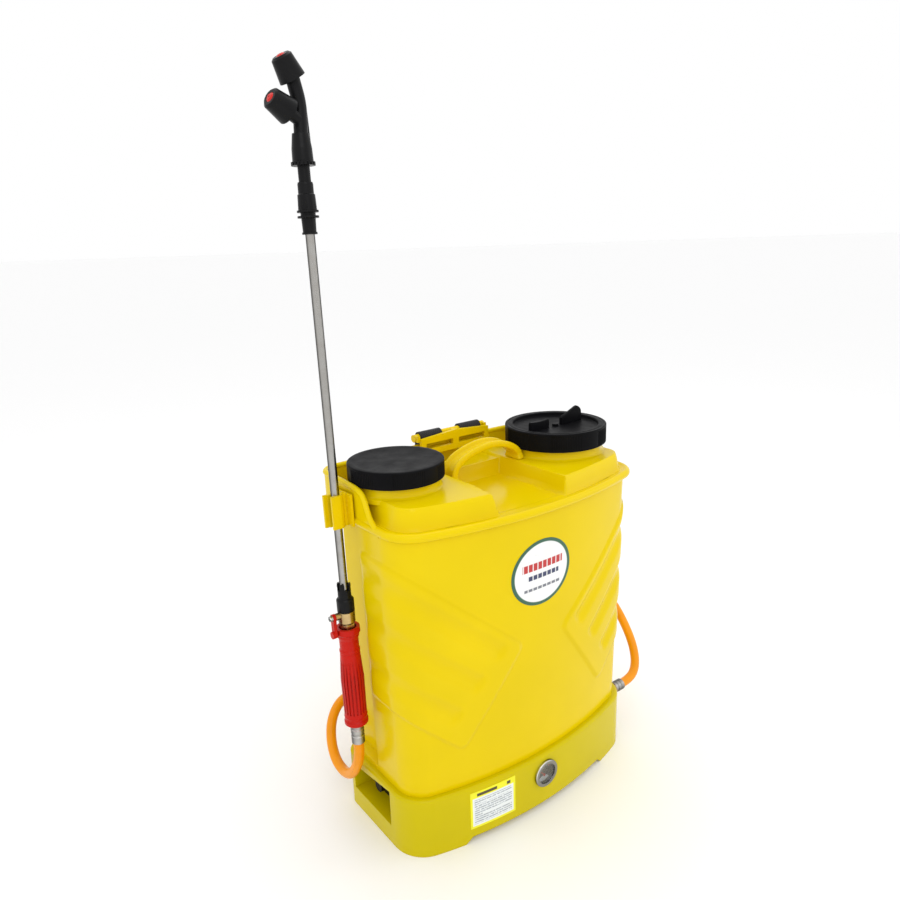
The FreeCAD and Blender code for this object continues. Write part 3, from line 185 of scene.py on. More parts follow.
def splinePoints(name, route, order=3, resolution=8):
    # points along a smooth NURBS line whose control points are the route
    data = bpy.data.curves.new(name, "CURVE")
    data.dimensions = "3D"
    line = data.splines.new("NURBS")
    line.points.add(len(route) - 1)
    for point, place in zip(line.points, route):
        point.co = (place[0], place[1], place[2], 1.0)
    line.order_u = order
    line.use_endpoint_u = True
    line.resolution_u = resolution
    holder = placed(name, data)
    mesh = bpy.data.meshes.new_from_object(holder)
    points = [vertex.co.copy() for vertex in mesh.vertices]
    bpy.data.objects.remove(holder)
    bpy.data.meshes.remove(mesh)
    return points


def joined(*parts):
    # several (verts, faces) sets as one
    verts, faces = [], []
    for part in parts:
        start = len(verts)
        verts += list(part[0])
        faces += [[start + corner for corner in face] for face in part[1]]
    return verts, faces


def scaled(part, factor=mm):
    return [Vector(point) * factor for point in part[0]], part[1]


def smoothStep(low, high, value):
    share = min(1.0, max(0.0, (value - low) / (high - low)))
    return share * share * (3 - 2 * share)


# node helpers, and the groups that several materials share
surfaceOutputs = [("Colour", "NodeSocketColor"), ("Roughness", "NodeSocketFloat"),
                  ("Height", "NodeSocketFloat")]


def newGroup(name, inputs, outputs):
    group = bpy.data.node_groups.new(name, "ShaderNodeTree")
    for label, kind, value in inputs:
        socket = group.interface.new_socket(label, in_out="INPUT", socket_type=kind)
        socket.default_value = value
    for label, kind in outputs:
        group.interface.new_socket(label, in_out="OUTPUT", socket_type=kind)
    return group, group.nodes.new("NodeGroupInput"), group.nodes.new("NodeGroupOutput")


def feed(tree, socket, value):
    # a number or a colour is set on the socket, and another socket is linked to it
    if isinstance(value, (int, float, tuple)):
        socket.default_value = value
    else:
        tree.links.new(value, socket)


def mathNode(tree, operation, *values):
    node = tree.nodes.new("ShaderNodeMath")
    node.operation = operation
    for socket, value in zip(node.inputs, values):
        feed(tree, socket, value)
    return node.outputs[0]


def noiseNode(tree, vector, scale, detail=2.0, roughness=0.5):
    node = tree.nodes.new("ShaderNodeTexNoise")
    labels = ("Vector", "Scale", "Detail", "Roughness")
    for label, value in zip(labels, (vector, scale, detail, roughness)):
        feed(tree, node.inputs[label], value)
    return node.outputs["Fac"]


def rangeNode(tree, value, low, high, outLow=0.0, outHigh=1.0):
    node = tree.nodes.new("ShaderNodeMapRange")
    labels = ("Value", "From Min", "From Max", "To Min", "To Max")
    for label, setting in zip(labels, (value, low, high, outLow, outHigh)):
        feed(tree, node.inputs[label], setting)
    return node.outputs["Result"]


def mixColour(tree, share, first, second, kind="MIX"):
    node = tree.nodes.new("ShaderNodeMix")
    node.data_type = "RGBA"
    node.blend_type = kind
    feed(tree, node.inputs["Factor"], share)
    colours = [socket for socket in node.inputs if socket.type == "RGBA"]
    feed(tree, colours[0], first)
    feed(tree, colours[1], second)
    return [socket for socket in node.outputs if socket.type == "RGBA"][0]


def makeMouldedGroup():
    # moulded plastic: cloudy colour, uneven gloss, fine grain, faint long waves and dust on top
    group, given, out = newGroup("mouldedPlastic", [
        ("Colour", "NodeSocketColor", (0.8, 0.8, 0.8, 1)), ("Cloud", "NodeSocketFloat", 0.05),
        ("Scale", "NodeSocketFloat", 12.0), ("Roughness", "NodeSocketFloat", 0.3),
        ("Unevenness", "NodeSocketFloat", 0.06), ("Dust", "NodeSocketFloat", 0.04),
        ("Wave", "NodeSocketFloat", 0.5)],
        surfaceOutputs)
    place = group.nodes.new("ShaderNodeTexCoord").outputs["Object"]
    cloud = noiseNode(group, place, given.outputs["Scale"], 3.0, 0.55)
    low = mathNode(group, "SUBTRACT", 1.0, given.outputs["Cloud"])
    high = mathNode(group, "ADD", 1.0, given.outputs["Cloud"])
    shade = rangeNode(group, cloud, 0.3, 0.7, low, high)
    tint = group.nodes.new("ShaderNodeCombineColor")
    for socket in tint.inputs[:3]:
        group.links.new(shade, socket)
    coloured = mixColour(group, 1.0, given.outputs["Colour"], tint.outputs[0], "MULTIPLY")
    facing = group.nodes.new("ShaderNodeNewGeometry").outputs["Normal"]
    split = group.nodes.new("ShaderNodeSeparateXYZ")
    group.links.new(facing, split.inputs[0])
    upward = rangeNode(group, split.outputs["Z"], 0.6, 0.98)
    specks = rangeNode(group, noiseNode(group, place, 420.0, 2.0, 0.6), 0.55, 0.72)
    film = rangeNode(group, noiseNode(group, place, 26.0, 4.0, 0.6), 0.42, 0.72)
    dust = mathNode(group, "MULTIPLY", upward, mathNode(group, "ADD", specks, film))
    dust = mathNode(group, "MULTIPLY", dust, given.outputs["Dust"])
    dusty = mixColour(group, dust, coloured, (0.75, 0.72, 0.66, 1.0))
    group.links.new(dusty, out.inputs["Colour"])
    gloss = rangeNode(group, noiseNode(group, place, 55.0, 4.0, 0.65), 0.3, 0.7,
                      mathNode(group, "MULTIPLY", given.outputs["Unevenness"], -1.0),
                      given.outputs["Unevenness"])
    gloss = mathNode(group, "ADD", gloss, given.outputs["Roughness"])
    gloss = mathNode(group, "ADD", gloss, dust)
    group.links.new(gloss, out.inputs["Roughness"])
    grain = noiseNode(group, place, 1900.0, 2.0, 0.6)
    waves = noiseNode(group, place, 24.0, 1.0, 0.4)
    height = mathNode(group, "MULTIPLY", grain, 0.06)
    height = mathNode(group, "ADD", height, mathNode(group, "MULTIPLY", waves, given.outputs["Wave"]))
    group.links.new(height, out.inputs["Height"])
    return group


def makeMetalGroup():
    # turned or drawn metal: fine lines across Z or along it, and faint stains
    group, given, out = newGroup("workedMetal", [
        ("Colour", "NodeSocketColor", (0.6, 0.6, 0.6, 1)), ("Roughness", "NodeSocketFloat", 0.25),
        ("Lines", "NodeSocketFloat", 0.1), ("Stretch", "NodeSocketVector", (1.0, 1.0, 0.03)),
        ("Stain", "NodeSocketFloat", 0.15)],
        surfaceOutputs)
    place = group.nodes.new("ShaderNodeTexCoord").outputs["Object"]
    stretch = group.nodes.new("ShaderNodeVectorMath")
    stretch.operation = "MULTIPLY"
    group.links.new(place, stretch.inputs[0])
    group.links.new(given.outputs["Stretch"], stretch.inputs[1])
    lines = noiseNode(group, stretch.outputs[0], 2600.0, 3.0, 0.6)
    stains = rangeNode(group, noiseNode(group, place, 90.0, 4.0, 0.6), 0.4, 0.75)
    dark = mathNode(group, "MULTIPLY", stains, given.outputs["Stain"])
    stained = mixColour(group, dark, given.outputs["Colour"], (0.16, 0.12, 0.08, 1.0))
    group.links.new(stained, out.inputs["Colour"])
    spread = rangeNode(group, lines, 0.3, 0.7, mathNode(group, "MULTIPLY", given.outputs["Lines"], -1.0),
                       given.outputs["Lines"])
    gloss = mathNode(group, "ADD", given.outputs["Roughness"], spread)
    gloss = mathNode(group, "ADD", gloss, mathNode(group, "MULTIPLY", dark, 0.5))
    group.links.new(gloss, out.inputs["Roughness"])
    group.links.new(lines, out.inputs["Height"])
    return group


def makeWeaveGroup():
    # plain weave in the object's own space: over and under threads, with fuzz
    group, given, out = newGroup("wovenCloth", [
        ("Colour", "NodeSocketColor", (0.03, 0.03, 0.03, 1)), ("Pitch", "NodeSocketFloat", 0.0011),
        ("Fuzz", "NodeSocketFloat", 0.25)],
        surfaceOutputs)
    place = group.nodes.new("ShaderNodeTexCoord").outputs["Object"]
    split = group.nodes.new("ShaderNodeSeparateXYZ")
    group.links.new(place, split.inputs[0])
    turns = mathNode(group, "DIVIDE", math.pi, given.outputs["Pitch"])
    across = mathNode(group, "SINE", mathNode(group, "MULTIPLY", split.outputs["X"], turns))
    along = mathNode(group, "SINE", mathNode(group, "MULTIPLY", split.outputs["Z"], turns))
    threads = mathNode(group, "MULTIPLY", across, along)
    height = rangeNode(group, threads, -1.0, 1.0)
    fuzz = noiseNode(group, place, 900.0, 3.0, 0.7)
    worn = rangeNode(group, noiseNode(group, place, 30.0, 4.0, 0.6), 0.35, 0.7)
    pale = mathNode(group, "MULTIPLY", mathNode(group, "MULTIPLY", fuzz, worn), given.outputs["Fuzz"])
    threadColour = mixColour(group, mathNode(group, "MULTIPLY", height, 0.5), given.outputs["Colour"],
                             (0.045, 0.045, 0.048, 1.0))
    group.links.new(mixColour(group, pale, threadColour, (0.28, 0.27, 0.26, 1.0)), out.inputs["Colour"])
    group.links.new(rangeNode(group, fuzz, 0.3, 0.7, 0.72, 0.95), out.inputs["Roughness"])
    group.links.new(height, out.inputs["Height"])
    return group


mouldedGroup = makeMouldedGroup()
metalGroup = makeMetalGroup()
weaveGroup = makeWeaveGroup()


def newMaterial(name):
    material = bpy.data.materials.new(name)
    material.use_nodes = True
    return material, material.node_tree, material.node_tree.nodes["Principled BSDF"]


def placeGroup(tree, group, settings):
    node = tree.nodes.new("ShaderNodeGroup")
    node.node_tree = group
    for label, value in settings.items():
        node.inputs[label].default_value = value
    return node


def wireSurface(tree, shader, colour, roughness, height, strength, distance, edge=0.0):
    tree.links.new(colour, shader.inputs["Base Color"])
    tree.links.new(roughness, shader.inputs["Roughness"])
    bump = tree.nodes.new("ShaderNodeBump")
    if edge > 0.0:
        rounded = tree.nodes.new("ShaderNodeBevel")
        rounded.samples = 4
        rounded.inputs["Radius"].default_value = edge
        tree.links.new(rounded.outputs["Normal"], bump.inputs["Normal"])
    bump.inputs["Strength"].default_value = strength
    bump.inputs["Distance"].default_value = distance
    tree.links.new(height, bump.inputs["Height"])
    tree.links.new(bump.outputs["Normal"], shader.inputs["Normal"])


def plastic(name, colour, roughness=0.3, cloud=0.05, scale=12.0, unevenness=0.05, dust=0.04, wave=0.5,
            strength=0.25, distance=0.0006, edge=0.0006, shine=0.3):
    material, tree, shader = newMaterial(name)
    detail = placeGroup(tree, mouldedGroup, {"Colour": (*colour, 1.0), "Cloud": cloud, "Scale": scale,
                                             "Roughness": roughness, "Unevenness": unevenness,
                                             "Dust": dust, "Wave": wave})
    wireSurface(tree, shader, detail.outputs["Colour"], detail.outputs["Roughness"],
                detail.outputs["Height"], strength, distance, edge)
    shader.inputs["Specular IOR Level"].default_value = shine
    return material


def metal(name, colour, roughness=0.25, lines=0.08, stretch=(1.0, 1.0, 0.03), stain=0.12, strength=0.12,
          darkness=0.75):
    material, tree, shader = newMaterial(name)
    detail = placeGroup(tree, metalGroup, {"Colour": (*colour, 1.0), "Roughness": roughness,
                                           "Lines": lines, "Stretch": stretch, "Stain": stain})
    # painted shade: the colour darkens towards grazing angles, by up to darkness, a painted dark reflection
    # along the edges
    facing = tree.nodes.new("ShaderNodeLayerWeight")
    facing.inputs["Blend"].default_value = 0.5
    rimShade = rangeNode(tree, facing.outputs["Facing"], 0.12, 0.5, 0.0, darkness)
    shaded = mixColour(tree, rimShade, detail.outputs["Colour"], (0.02, 0.018, 0.015, 1.0))
    wireSurface(tree, shader, shaded, detail.outputs["Roughness"], detail.outputs["Height"], strength, 0.0003)
    shader.inputs["Metallic"].default_value = 1.0
    return material


def cloth(name, colour, pitch, fuzz):
    material, tree, shader = newMaterial(name)
    detail = placeGroup(tree, weaveGroup, {"Colour": (*colour, 1.0), "Pitch": pitch, "Fuzz": fuzz})
    wireSurface(tree, shader, detail.outputs["Colour"], detail.outputs["Roughness"],
                detail.outputs["Height"], 0.5, 0.0004)
    shader.inputs["Sheen Weight"].default_value = 0.12
    shader.inputs["Specular IOR Level"].default_value = 0.2
    shader.inputs["Sheen Roughness"].default_value = 0.5
    return material


yellow = (0.77, 0.57, 0.0)
tankPlastic = plastic("tankPlastic", yellow, roughness=0.2, cloud=0.04, scale=7.0, unevenness=0.04,
                      dust=0.0, wave=1.0, strength=0.25, distance=0.001, edge=0.0, shine=0.13)
basePlastic = plastic("basePlastic", (0.60, 0.49, 0.0), roughness=0.22, cloud=0.04, scale=9.0,
                      unevenness=0.04, dust=0.0, wave=0.6, strength=0.2, distance=0.0008, edge=0.0016,
                      shine=0.13)
trimPlastic = plastic("trimPlastic", (0.78, 0.555, 0.0), roughness=0.26, cloud=0.05, scale=20.0,
                      unevenness=0.05, dust=0.0, wave=0.3, strength=0.2, distance=0.0006, edge=0.001,
                      shine=0.15)
lidPlastic = plastic("lidPlastic", (0.005, 0.005, 0.0058), roughness=0.42, cloud=0.2, scale=30.0,
                     unevenness=0.07, dust=0.002, wave=0.2, strength=0.3, distance=0.0004, edge=0.0,
                     shine=0.04)
blackPlastic = plastic("blackPlastic", (0.006, 0.006, 0.0065), roughness=0.34, cloud=0.2, scale=40.0,
                       unevenness=0.07, dust=0.005, wave=0.2, strength=0.25, distance=0.0004,
                       edge=0.0005, shine=0.14)
redPlastic = plastic("redPlastic", (0.50, 0.008, 0.002), roughness=0.3, cloud=0.07, scale=30.0,
                     unevenness=0.06, dust=0.0, wave=0.3, strength=0.25, distance=0.0005, edge=0.0007,
                     shine=0.16)
tipPlastic = plastic("tipPlastic", (0.60, 0.02, 0.015), roughness=0.25, cloud=0.08, scale=60.0,
                     unevenness=0.05, dust=0.0, wave=0.2, strength=0.2, distance=0.0003)
rubberBlack = plastic("rubberBlack", (0.018, 0.018, 0.018), roughness=0.62, cloud=0.15, scale=30.0,
                      unevenness=0.08, dust=0.1, wave=0.2, strength=0.4, distance=0.0005)
strainerPlastic = plastic("strainerPlastic", (0.78, 0.78, 0.74), roughness=0.35, cloud=0.05, scale=20.0,
                          unevenness=0.06, dust=0.05, wave=0.2, strength=0.2, distance=0.0005)
pumpPlastic = plastic("pumpPlastic", (0.02, 0.02, 0.022), roughness=0.4, cloud=0.15, scale=20.0,
                      unevenness=0.08, dust=0.1, wave=0.3, strength=0.3, distance=0.0005)
batteryPlastic = plastic("batteryPlastic", (0.035, 0.037, 0.04), roughness=0.45, cloud=0.12, scale=15.0,
                         unevenness=0.08, dust=0.12, wave=0.2, strength=0.3, distance=0.0006)
cableSleeve = plastic("cableSleeve", (0.30, 0.012, 0.010), roughness=0.4, cloud=0.1, scale=40.0,
                      unevenness=0.06, dust=0.1, wave=0.2, strength=0.25, distance=0.0004)
brassMetal = metal("brassMetal", (0.62, 0.44, 0.20), roughness=0.24, lines=0.07,
                   stretch=(1.0, 1.0, 0.25), stain=0.22)
# the lance tube carries the strongest painted dark reflection along its edges
tubeSteel = metal("tubeSteel", (0.42, 0.41, 0.39), roughness=0.2, lines=0.08, stretch=(1.0, 1.0, 0.02),
                  stain=0.2, strength=0.12, darkness=0.95)
zincSteel = metal("zincSteel", (0.58, 0.57, 0.55), roughness=0.34, lines=0.08, stretch=(0.4, 1.0, 1.0),
                  stain=0.28)
chromeMetal = metal("chromeMetal", (0.72, 0.72, 0.72), roughness=0.12, lines=0.04,
                    stretch=(1.0, 1.0, 1.0), stain=0.06)
strapCloth = cloth("strapCloth", (0.007, 0.007, 0.008), pitch=0.0014, fuzz=0.10)
webbingCloth = cloth("webbingCloth", (0.006, 0.006, 0.007), pitch=0.0018, fuzz=0.06)
threadCloth = cloth("threadCloth", (0.035, 0.035, 0.037), pitch=0.0006, fuzz=0.1)


def makeHoseMaterial():
    # orange hose with a thin dark stripe along it
    material, tree, shader = newMaterial("hoseRubber")
    run = tree.nodes.new("ShaderNodeUVMap")
    run.uv_map = "run"
    split = tree.nodes.new("ShaderNodeSeparateXYZ")
    tree.links.new(run.outputs[0], split.inputs[0])
    detail = placeGroup(tree, mouldedGroup, {"Colour": (0.84, 0.30, 0.002, 1.0), "Cloud": 0.08,
                                             "Scale": 30.0, "Roughness": 0.34, "Unevenness": 0.06,
                                             "Dust": 0.0, "Wave": 0.4})
    offStripe = mathNode(tree, "ABSOLUTE", mathNode(tree, "SUBTRACT", split.outputs["X"], 0.55))
    stripe = rangeNode(tree, offStripe, 0.020, 0.026, 1.0, 0.0)
    marked = mixColour(tree, stripe, detail.outputs["Colour"], (0.03, 0.05, 0.03, 1.0))
    wireSurface(tree, shader, marked, detail.outputs["Roughness"], detail.outputs["Height"], 0.25, 0.0006)
    shader.inputs["Specular IOR Level"].default_value = 0.25
    return material


hoseRubber = makeHoseMaterial()


def makeClearMaterial():
    material, tree, shader = newMaterial("clearPlastic")
    place = tree.nodes.new("ShaderNodeTexCoord").outputs["Object"]
    smudge = noiseNode(tree, place, 160.0, 4.0, 0.6)
    tree.links.new(rangeNode(tree, smudge, 0.35, 0.7, 0.03, 0.14), shader.inputs["Roughness"])
    shader.inputs["Base Color"].default_value = (0.96, 0.97, 0.97, 1.0)
    shader.inputs["Transmission Weight"].default_value = 1.0
    shader.inputs["IOR"].default_value = 1.49
    return material


clearPlastic = makeClearMaterial()
print("materials made")


# spray hose: from the outlet round the back to the grip
hose = {
    "radius": 0.0065,
    "length": 1.06,
    "route": [
        (0.2140, -0.0550, 0.0620), (0.2360, -0.0550, 0.0620), (0.2550, -0.0490, 0.0730),
        (0.2670, -0.0350, 0.0930), (0.2730, -0.0140, 0.1180), (0.2760, 0.0140, 0.1460),
        (0.2720, 0.0480, 0.1740), (0.2590, 0.0840, 0.1940), (0.2360, 0.1200, 0.1970),
        (0.2110, 0.1500, 0.1750), (0.1900, 0.1730, 0.1340), (0.1690, 0.1900, 0.0860),
        (0.1400, 0.2030, 0.0420), (0.0980, 0.2110, 0.0130), (0.0460, 0.2100, 0.0068),
        (-0.0080, 0.1990, 0.0069), (-0.0580, 0.1780, 0.0074), (-0.0940, 0.1540, 0.0260),
        (-0.1160, 0.1370, 0.0620), (-0.1330, 0.1250, 0.0950), (-0.1530, 0.1150, 0.1140),
        (-0.1740, 0.1070, 0.1150), (-0.1910, 0.0980, 0.1020), (-0.2010, 0.0850, 0.0830),
        (-0.2060, 0.0660, 0.0660), (-0.2060, 0.0440, 0.0600), (-0.2060, 0.0230, 0.0690),
        (-0.2055, 0.0080, 0.0890), (-0.2050, -0.0015, 0.1130), (-0.2050, -0.0008, 0.1320)],
}


def makeHose(setup):
    line = splinePoints("hoseLine", setup["route"], 3, 8)
    outline = circleSection(setup["radius"], 28)
    verts, faces, uvs = swept(line, lambda index, share: outline)
    piece = makePiece("sprayHose", verts, faces, "sprayer", "hose_rubber", hoseRubber, 60.0, uvs)
    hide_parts("spray_hose")
    return piece


makeHose(hose)
print("hose made")


# tank: one blown shell with its rolled rim, top blocks, necks and side flange
tank = {
    "bow": 554.0, "low": 80.0, "high": 409.0, "insetLow": 8.0, "insetHigh": 2.0,
    "front": 114.0, "half": 190.0, "back": 66.0, "corner": 45.0, "rear": 18.0,
    "panelRise": 2.6, "panelEdge": 2.4, "panelRounding": 10.0, "panelHigh": 404.0, "panelBack": 20.0,
    "panelSides": [((31.0, 247.5), (200.0, 390.0)), ((116.0, 130.0), (31.0, 247.5)),
                   ((200.0, 206.0), (116.0, 130.0))],
    "grooveDepth": 4.0, "grooveHalf": 15.0, "grooveSlope": 0.83, "sideFade": 0.55,
    "grooveTips": [(67.0, 250.0), (97.0, 217.0), (127.0, 183.0)],
    "recessX": -170.0, "recessFront": -5.0, "recessLow": 86.0, "recessHigh": 406.0,
    "beadRadius": 5.2, "beadHeight": 414.6, "ledge": 418.4,
    "leftTop": 443.0, "rightTop": 440.0, "rearTop": 437.0,
    "leftEdge": -55.0, "rightEdge": 40.0, "rearFront": 15.0, "blockInset": 15.0, "blockBack": 62.0,
    "step": 2.3, "topStep": 1.6,
}
rim = {"bow": 554.0, "front": 121.0, "half": 191.0, "back": 86.0, "corner": 42.0, "rear": 26.0}


def planCorners(plan):
    # centres of the bow, a front corner and a rear corner, and the angle where bow and corner meet
    bowY = plan["bow"] - plan["front"]
    cornerX = plan["half"] - plan["corner"]
    cornerY = bowY - math.sqrt((plan["bow"] - plan["corner"]) ** 2 - cornerX ** 2)
    meet = math.atan2(cornerX, bowY - cornerY)
    return bowY, cornerX, cornerY, meet


def planSpot(plan, segment, share, inset):
    # a point of the outline drawn in by inset, and its outward direction; side is +1 on the right
    bowY, cornerX, cornerY, meet = planCorners(plan)
    side = -1.0 if segment.startswith("left") else 1.0
    part = segment.replace("left", "").replace("right", "")
    rearX, rearY = plan["half"] - plan["rear"], plan["back"] - plan["rear"]
    if part == "Bow":
        angle = meet * share
        out = (math.sin(angle), -math.cos(angle))
        spot = (out[0] * (plan["bow"] - inset), bowY + out[1] * (plan["bow"] - inset))
    elif part == "Corner":
        angle = meet + (math.pi / 2 - meet) * share
        out = (math.sin(angle), -math.cos(angle))
        reach = plan["corner"] - inset
        spot = (cornerX + out[0] * reach, cornerY + out[1] * reach)
    elif part == "Side":
        out = (1.0, 0.0)
        spot = (plan["half"] - inset, cornerY + (rearY - cornerY) * share)
    elif part == "Rear":
        angle = math.pi / 2 * share
        out = (math.cos(angle), math.sin(angle))
        reach = plan["rear"] - inset
        spot = (rearX + out[0] * reach, rearY + out[1] * reach)
    else:
        out = (0.0, 1.0)
        spot = (rearX * (1 - share), plan["back"] - inset)
    return (side * spot[0], spot[1]), (side * out[0], out[1])


def planColumns(plan, step):
    # (segment, share) once round the outline from the middle of the front, by way of the right
    bowY, cornerX, cornerY, meet = planCorners(plan)
    rearY = plan["back"] - plan["rear"]
    counts = {"Bow": plan["bow"] * meet / step, "Corner": plan["corner"] * (math.pi / 2 - meet) / step,
              "Rear": 9, "Back": (plan["half"] - plan["rear"]) / (step * 2.5)}
    half = []
    for part in ("Bow", "Corner", "Side", "Rear", "Back"):
        if part == "Side":
            shares = spreadSides(cornerY, rearY, step)
        else:
            count = int(math.ceil(counts[part]))
            shares = [index / count for index in range(count)]
        half += [(part, share) for share in shares]
    right = [("right" + part, share) for part, share in half]
    left = [("left" + part, share) for part, share in half[1:]]
    return right + [("rightBack", 1.0)] + left[::-1]


def spreadSides(cornerY, rearY, step):
    # even steps along a side, with close ones where the recess for the lance begins
    edge = tank["recessFront"]
    offsets = (-4.0, -2.6, -1.6, -1.0, -0.5, 0.0, 0.4, 0.8, 1.2, 1.7, 2.6, 4.0)
    tight = [edge + offset for offset in offsets]
    loose = []
    y = cornerY
    while y < edge - 5.5:
        loose.append(y)
        y += step
    y = edge + 7.0
    while y < rearY - 1.0:
        tight.append(y)
        y += step * 2
    return [(value - cornerY) / (rearY - cornerY) for value in loose + tight]


def panelCover(x, z):
    # 1 on a raised panel, 0 off it, with rounded corners and a soft edge
    rounding = tank["panelRounding"]
    distances = []
    for (x0, z0), (x1, z1) in tank["panelSides"]:
        length = math.hypot(x1 - x0, z1 - z0)
        outward = (-(z1 - z0) / length, (x1 - x0) / length)
        distances.append((x - x0) * outward[0] + (z - z0) * outward[1])
    over = [max(distance + rounding, 0.0) for distance in distances]
    distance = max(distances)
    if max(over) > 0.0:
        distance = math.sqrt(sum(value * value for value in over)) - rounding
    return 1.0 - smoothStep(-tank["panelEdge"], 0.0, distance)


def grooveCover(x, z):
    # how deep a point lies in the soft grooves, from 0 to 1
    length = math.hypot(1.0, tank["grooveSlope"])
    way = (1.0 / length, tank["grooveSlope"] / length)
    deepest = 0.0
    for tipX, tipZ in tank["grooveTips"]:
        along = (x - tipX) * way[0] + (z - tipZ) * way[1]
        across = -(x - tipX) * way[1] + (z - tipZ) * way[0]
        gap = math.hypot(min(along, 0.0) * 1.3, across)
        share = max(0.0, 1.0 - gap / tank["grooveHalf"])
        deepest = max(deepest, 0.5 - 0.5 * math.cos(math.pi * share))
    return deepest


def skinRise(x, y, z):
    # how far the skin stands out of the plain tapered body
    if y > tank["panelBack"] or z > tank["panelHigh"]:
        return 0.0
    cover = panelCover(abs(x), z) * (1.0 - smoothStep(-9.0, -6.0, y))
    depth = tank["grooveDepth"] * (1.0 - tank["sideFade"] * smoothStep(-85.0, -45.0, y))
    return cover * (tank["panelRise"] - depth * grooveCover(abs(x), z))


def skinPoint(segment, share, z):
    blend = (z - tank["low"]) / (tank["high"] + 5.0 - tank["low"])
    inset = tank["insetLow"] + (tank["insetHigh"] - tank["insetLow"]) * blend
    (x, y), (outX, outY) = planSpot(tank, segment, share, inset)
    rise = skinRise(x, y, z)
    x, y = x + outX * rise, y + outY * rise
    inRecess = smoothStep(0.0, 1.6, y - tank["recessFront"])
    inRecess *= smoothStep(0.0, 2.0, z - tank["recessLow"])
    inRecess *= 1.0 - smoothStep(0.0, 3.0, z - tank["recessHigh"])
    if x < tank["recessX"]:
        x += (tank["recessX"] - x) * inRecess
    return (x, y, z)


def rimProfile():
    # (inset, height) from under the rolled rim, round it and down to the ledge inside
    radius, centre = tank["beadRadius"], tank["beadHeight"]
    turn = [-65, -45, -25, -5, 15, 35, 55, 75, 95, 115, 130]
    profile = [(radius - radius * math.cos(math.radians(a)), centre + radius * math.sin(math.radians(a)))
               for a in turn]
    return profile + [(9.6, tank["ledge"] + 0.5), (10.8, tank["ledge"])]


def tankRows():
    rows = [80.0, 83.0, 85.2, 86.0, 86.6, 87.2, 88.0, 89.5]
    z = 92.0
    while z < 402.0:
        rows.append(z)
        z += tank["step"] * 1.05
    return rows + [403.5, 405.0, 406.0, 407.0, 408.0, 409.0]


def insideRim(x, y):
    # distance in from the rim's outline
    bowY, cornerX, cornerY, meet = planCorners(rim)
    across = abs(x)
    if y < cornerY and across > cornerX and across / (bowY - y) > math.tan(meet):
        front = rim["corner"] - math.hypot(across - cornerX, y - cornerY)
    else:
        front = rim["bow"] - math.hypot(x, y - bowY)
        if y > cornerY:
            front = min(front, rim["half"] - across) if front > 0 else front
    rearX, rearY = rim["half"] - rim["rear"], rim["back"] - rim["rear"]
    if across > rearX and y > rearY:
        rear = rim["rear"] - math.hypot(across - rearX, y - rearY)
    else:
        rear = min(rim["half"] - across, rim["back"] - y)
    return min(front, rear)


def topHeight(x, y):
    # the moulded top: three blocks round a hand recess, rising from the ledge
    ledge = tank["ledge"]
    edge = min(insideRim(x, y) - tank["blockInset"] + 2.5, tank["blockBack"] + 2.5 - y)
    left = smoothStep(0.0, 7.5, min(edge, tank["leftEdge"] - 6.0 * smoothStep(-40.0, -110.0, y) - x))
    right = smoothStep(0.0, 7.5, min(edge, x - tank["rightEdge"] + 2.0))
    rear = smoothStep(0.0, 7.5, min(edge, y - tank["rearFront"] + 2.0))
    height = max(left * (tank["leftTop"] - ledge), right * (tank["rightTop"] - ledge),
                 rear * (tank["rearTop"] - ledge))
    floor = -0.8 * smoothStep(8.0, 14.0, insideRim(x, y) - 10.0)
    return ledge + height + (floor if height < 0.5 else 0.0)


def topSpread(low, high, step, tightEnds):
    # positions from low to high, closer at the two ends where the outline turns
    values = []
    count = int((high - low) / step)
    for index in range(count + 1):
        share = index / count
        eased = 0.5 - 0.5 * math.cos(math.pi * share)
        values.append(low + (high - low) * (share * (1 - tightEnds) + eased * tightEnds))
    return values


def rimEdge(x, inset, front):
    # the y of the rim's outline, drawn in by inset, at x
    bowY, cornerX, cornerY, meet = planCorners(rim)
    across = abs(x)
    if front:
        meetX = (rim["bow"] - inset) * math.sin(meet)
        if across <= meetX:
            return bowY - math.sqrt((rim["bow"] - inset) ** 2 - across ** 2)
        reach = rim["corner"] - inset
        return cornerY - math.sqrt(max(reach ** 2 - (across - cornerX) ** 2, 0.0))
    rearX, rearY = rim["half"] - rim["rear"], rim["back"] - rim["rear"]
    if across <= rearX:
        return rim["back"] - inset
    reach = rim["rear"] - inset
    return rearY + math.sqrt(max(reach ** 2 - (across - rearX) ** 2, 0.0))


def tankShell():
    # one closed mesh: floor, sides, rim, and a top sheet stitched to the rim's inner edge
    columns = planColumns(tank, tank["step"])
    rows = tankRows()
    profile = rimProfile()
    shape = bmesh.new()
    loops = []
    for z in rows:
        loops.append([shape.verts.new(skinPoint(segment, share, z)) for segment, share in columns])
    for inset, z in profile:
        loop = []
        for segment, share in columns:
            (x, y), out = planSpot(rim, segment, share, inset)
            loop.append(shape.verts.new((x, y, z)))
        loops.append(loop)
    count = len(columns)
    for low, high in zip(loops, loops[1:]):
        for step in range(count):
            after = (step + 1) % count
            shape.faces.new((low[step], low[after], high[after], high[step]))
    shape.faces.new(loops[0][::-1])
    innerEdges = loopEdges(shape, loops[-1])
    sheetEdges = topSheet(shape)
    bmesh.ops.bridge_loops(shape, edges=innerEdges + sheetEdges)
    bmesh.ops.recalc_face_normals(shape, faces=shape.faces)
    return shape


def loopEdges(shape, loop):
    return [shape.edges.get((loop[index - 1], loop[index])) for index in range(len(loop))]


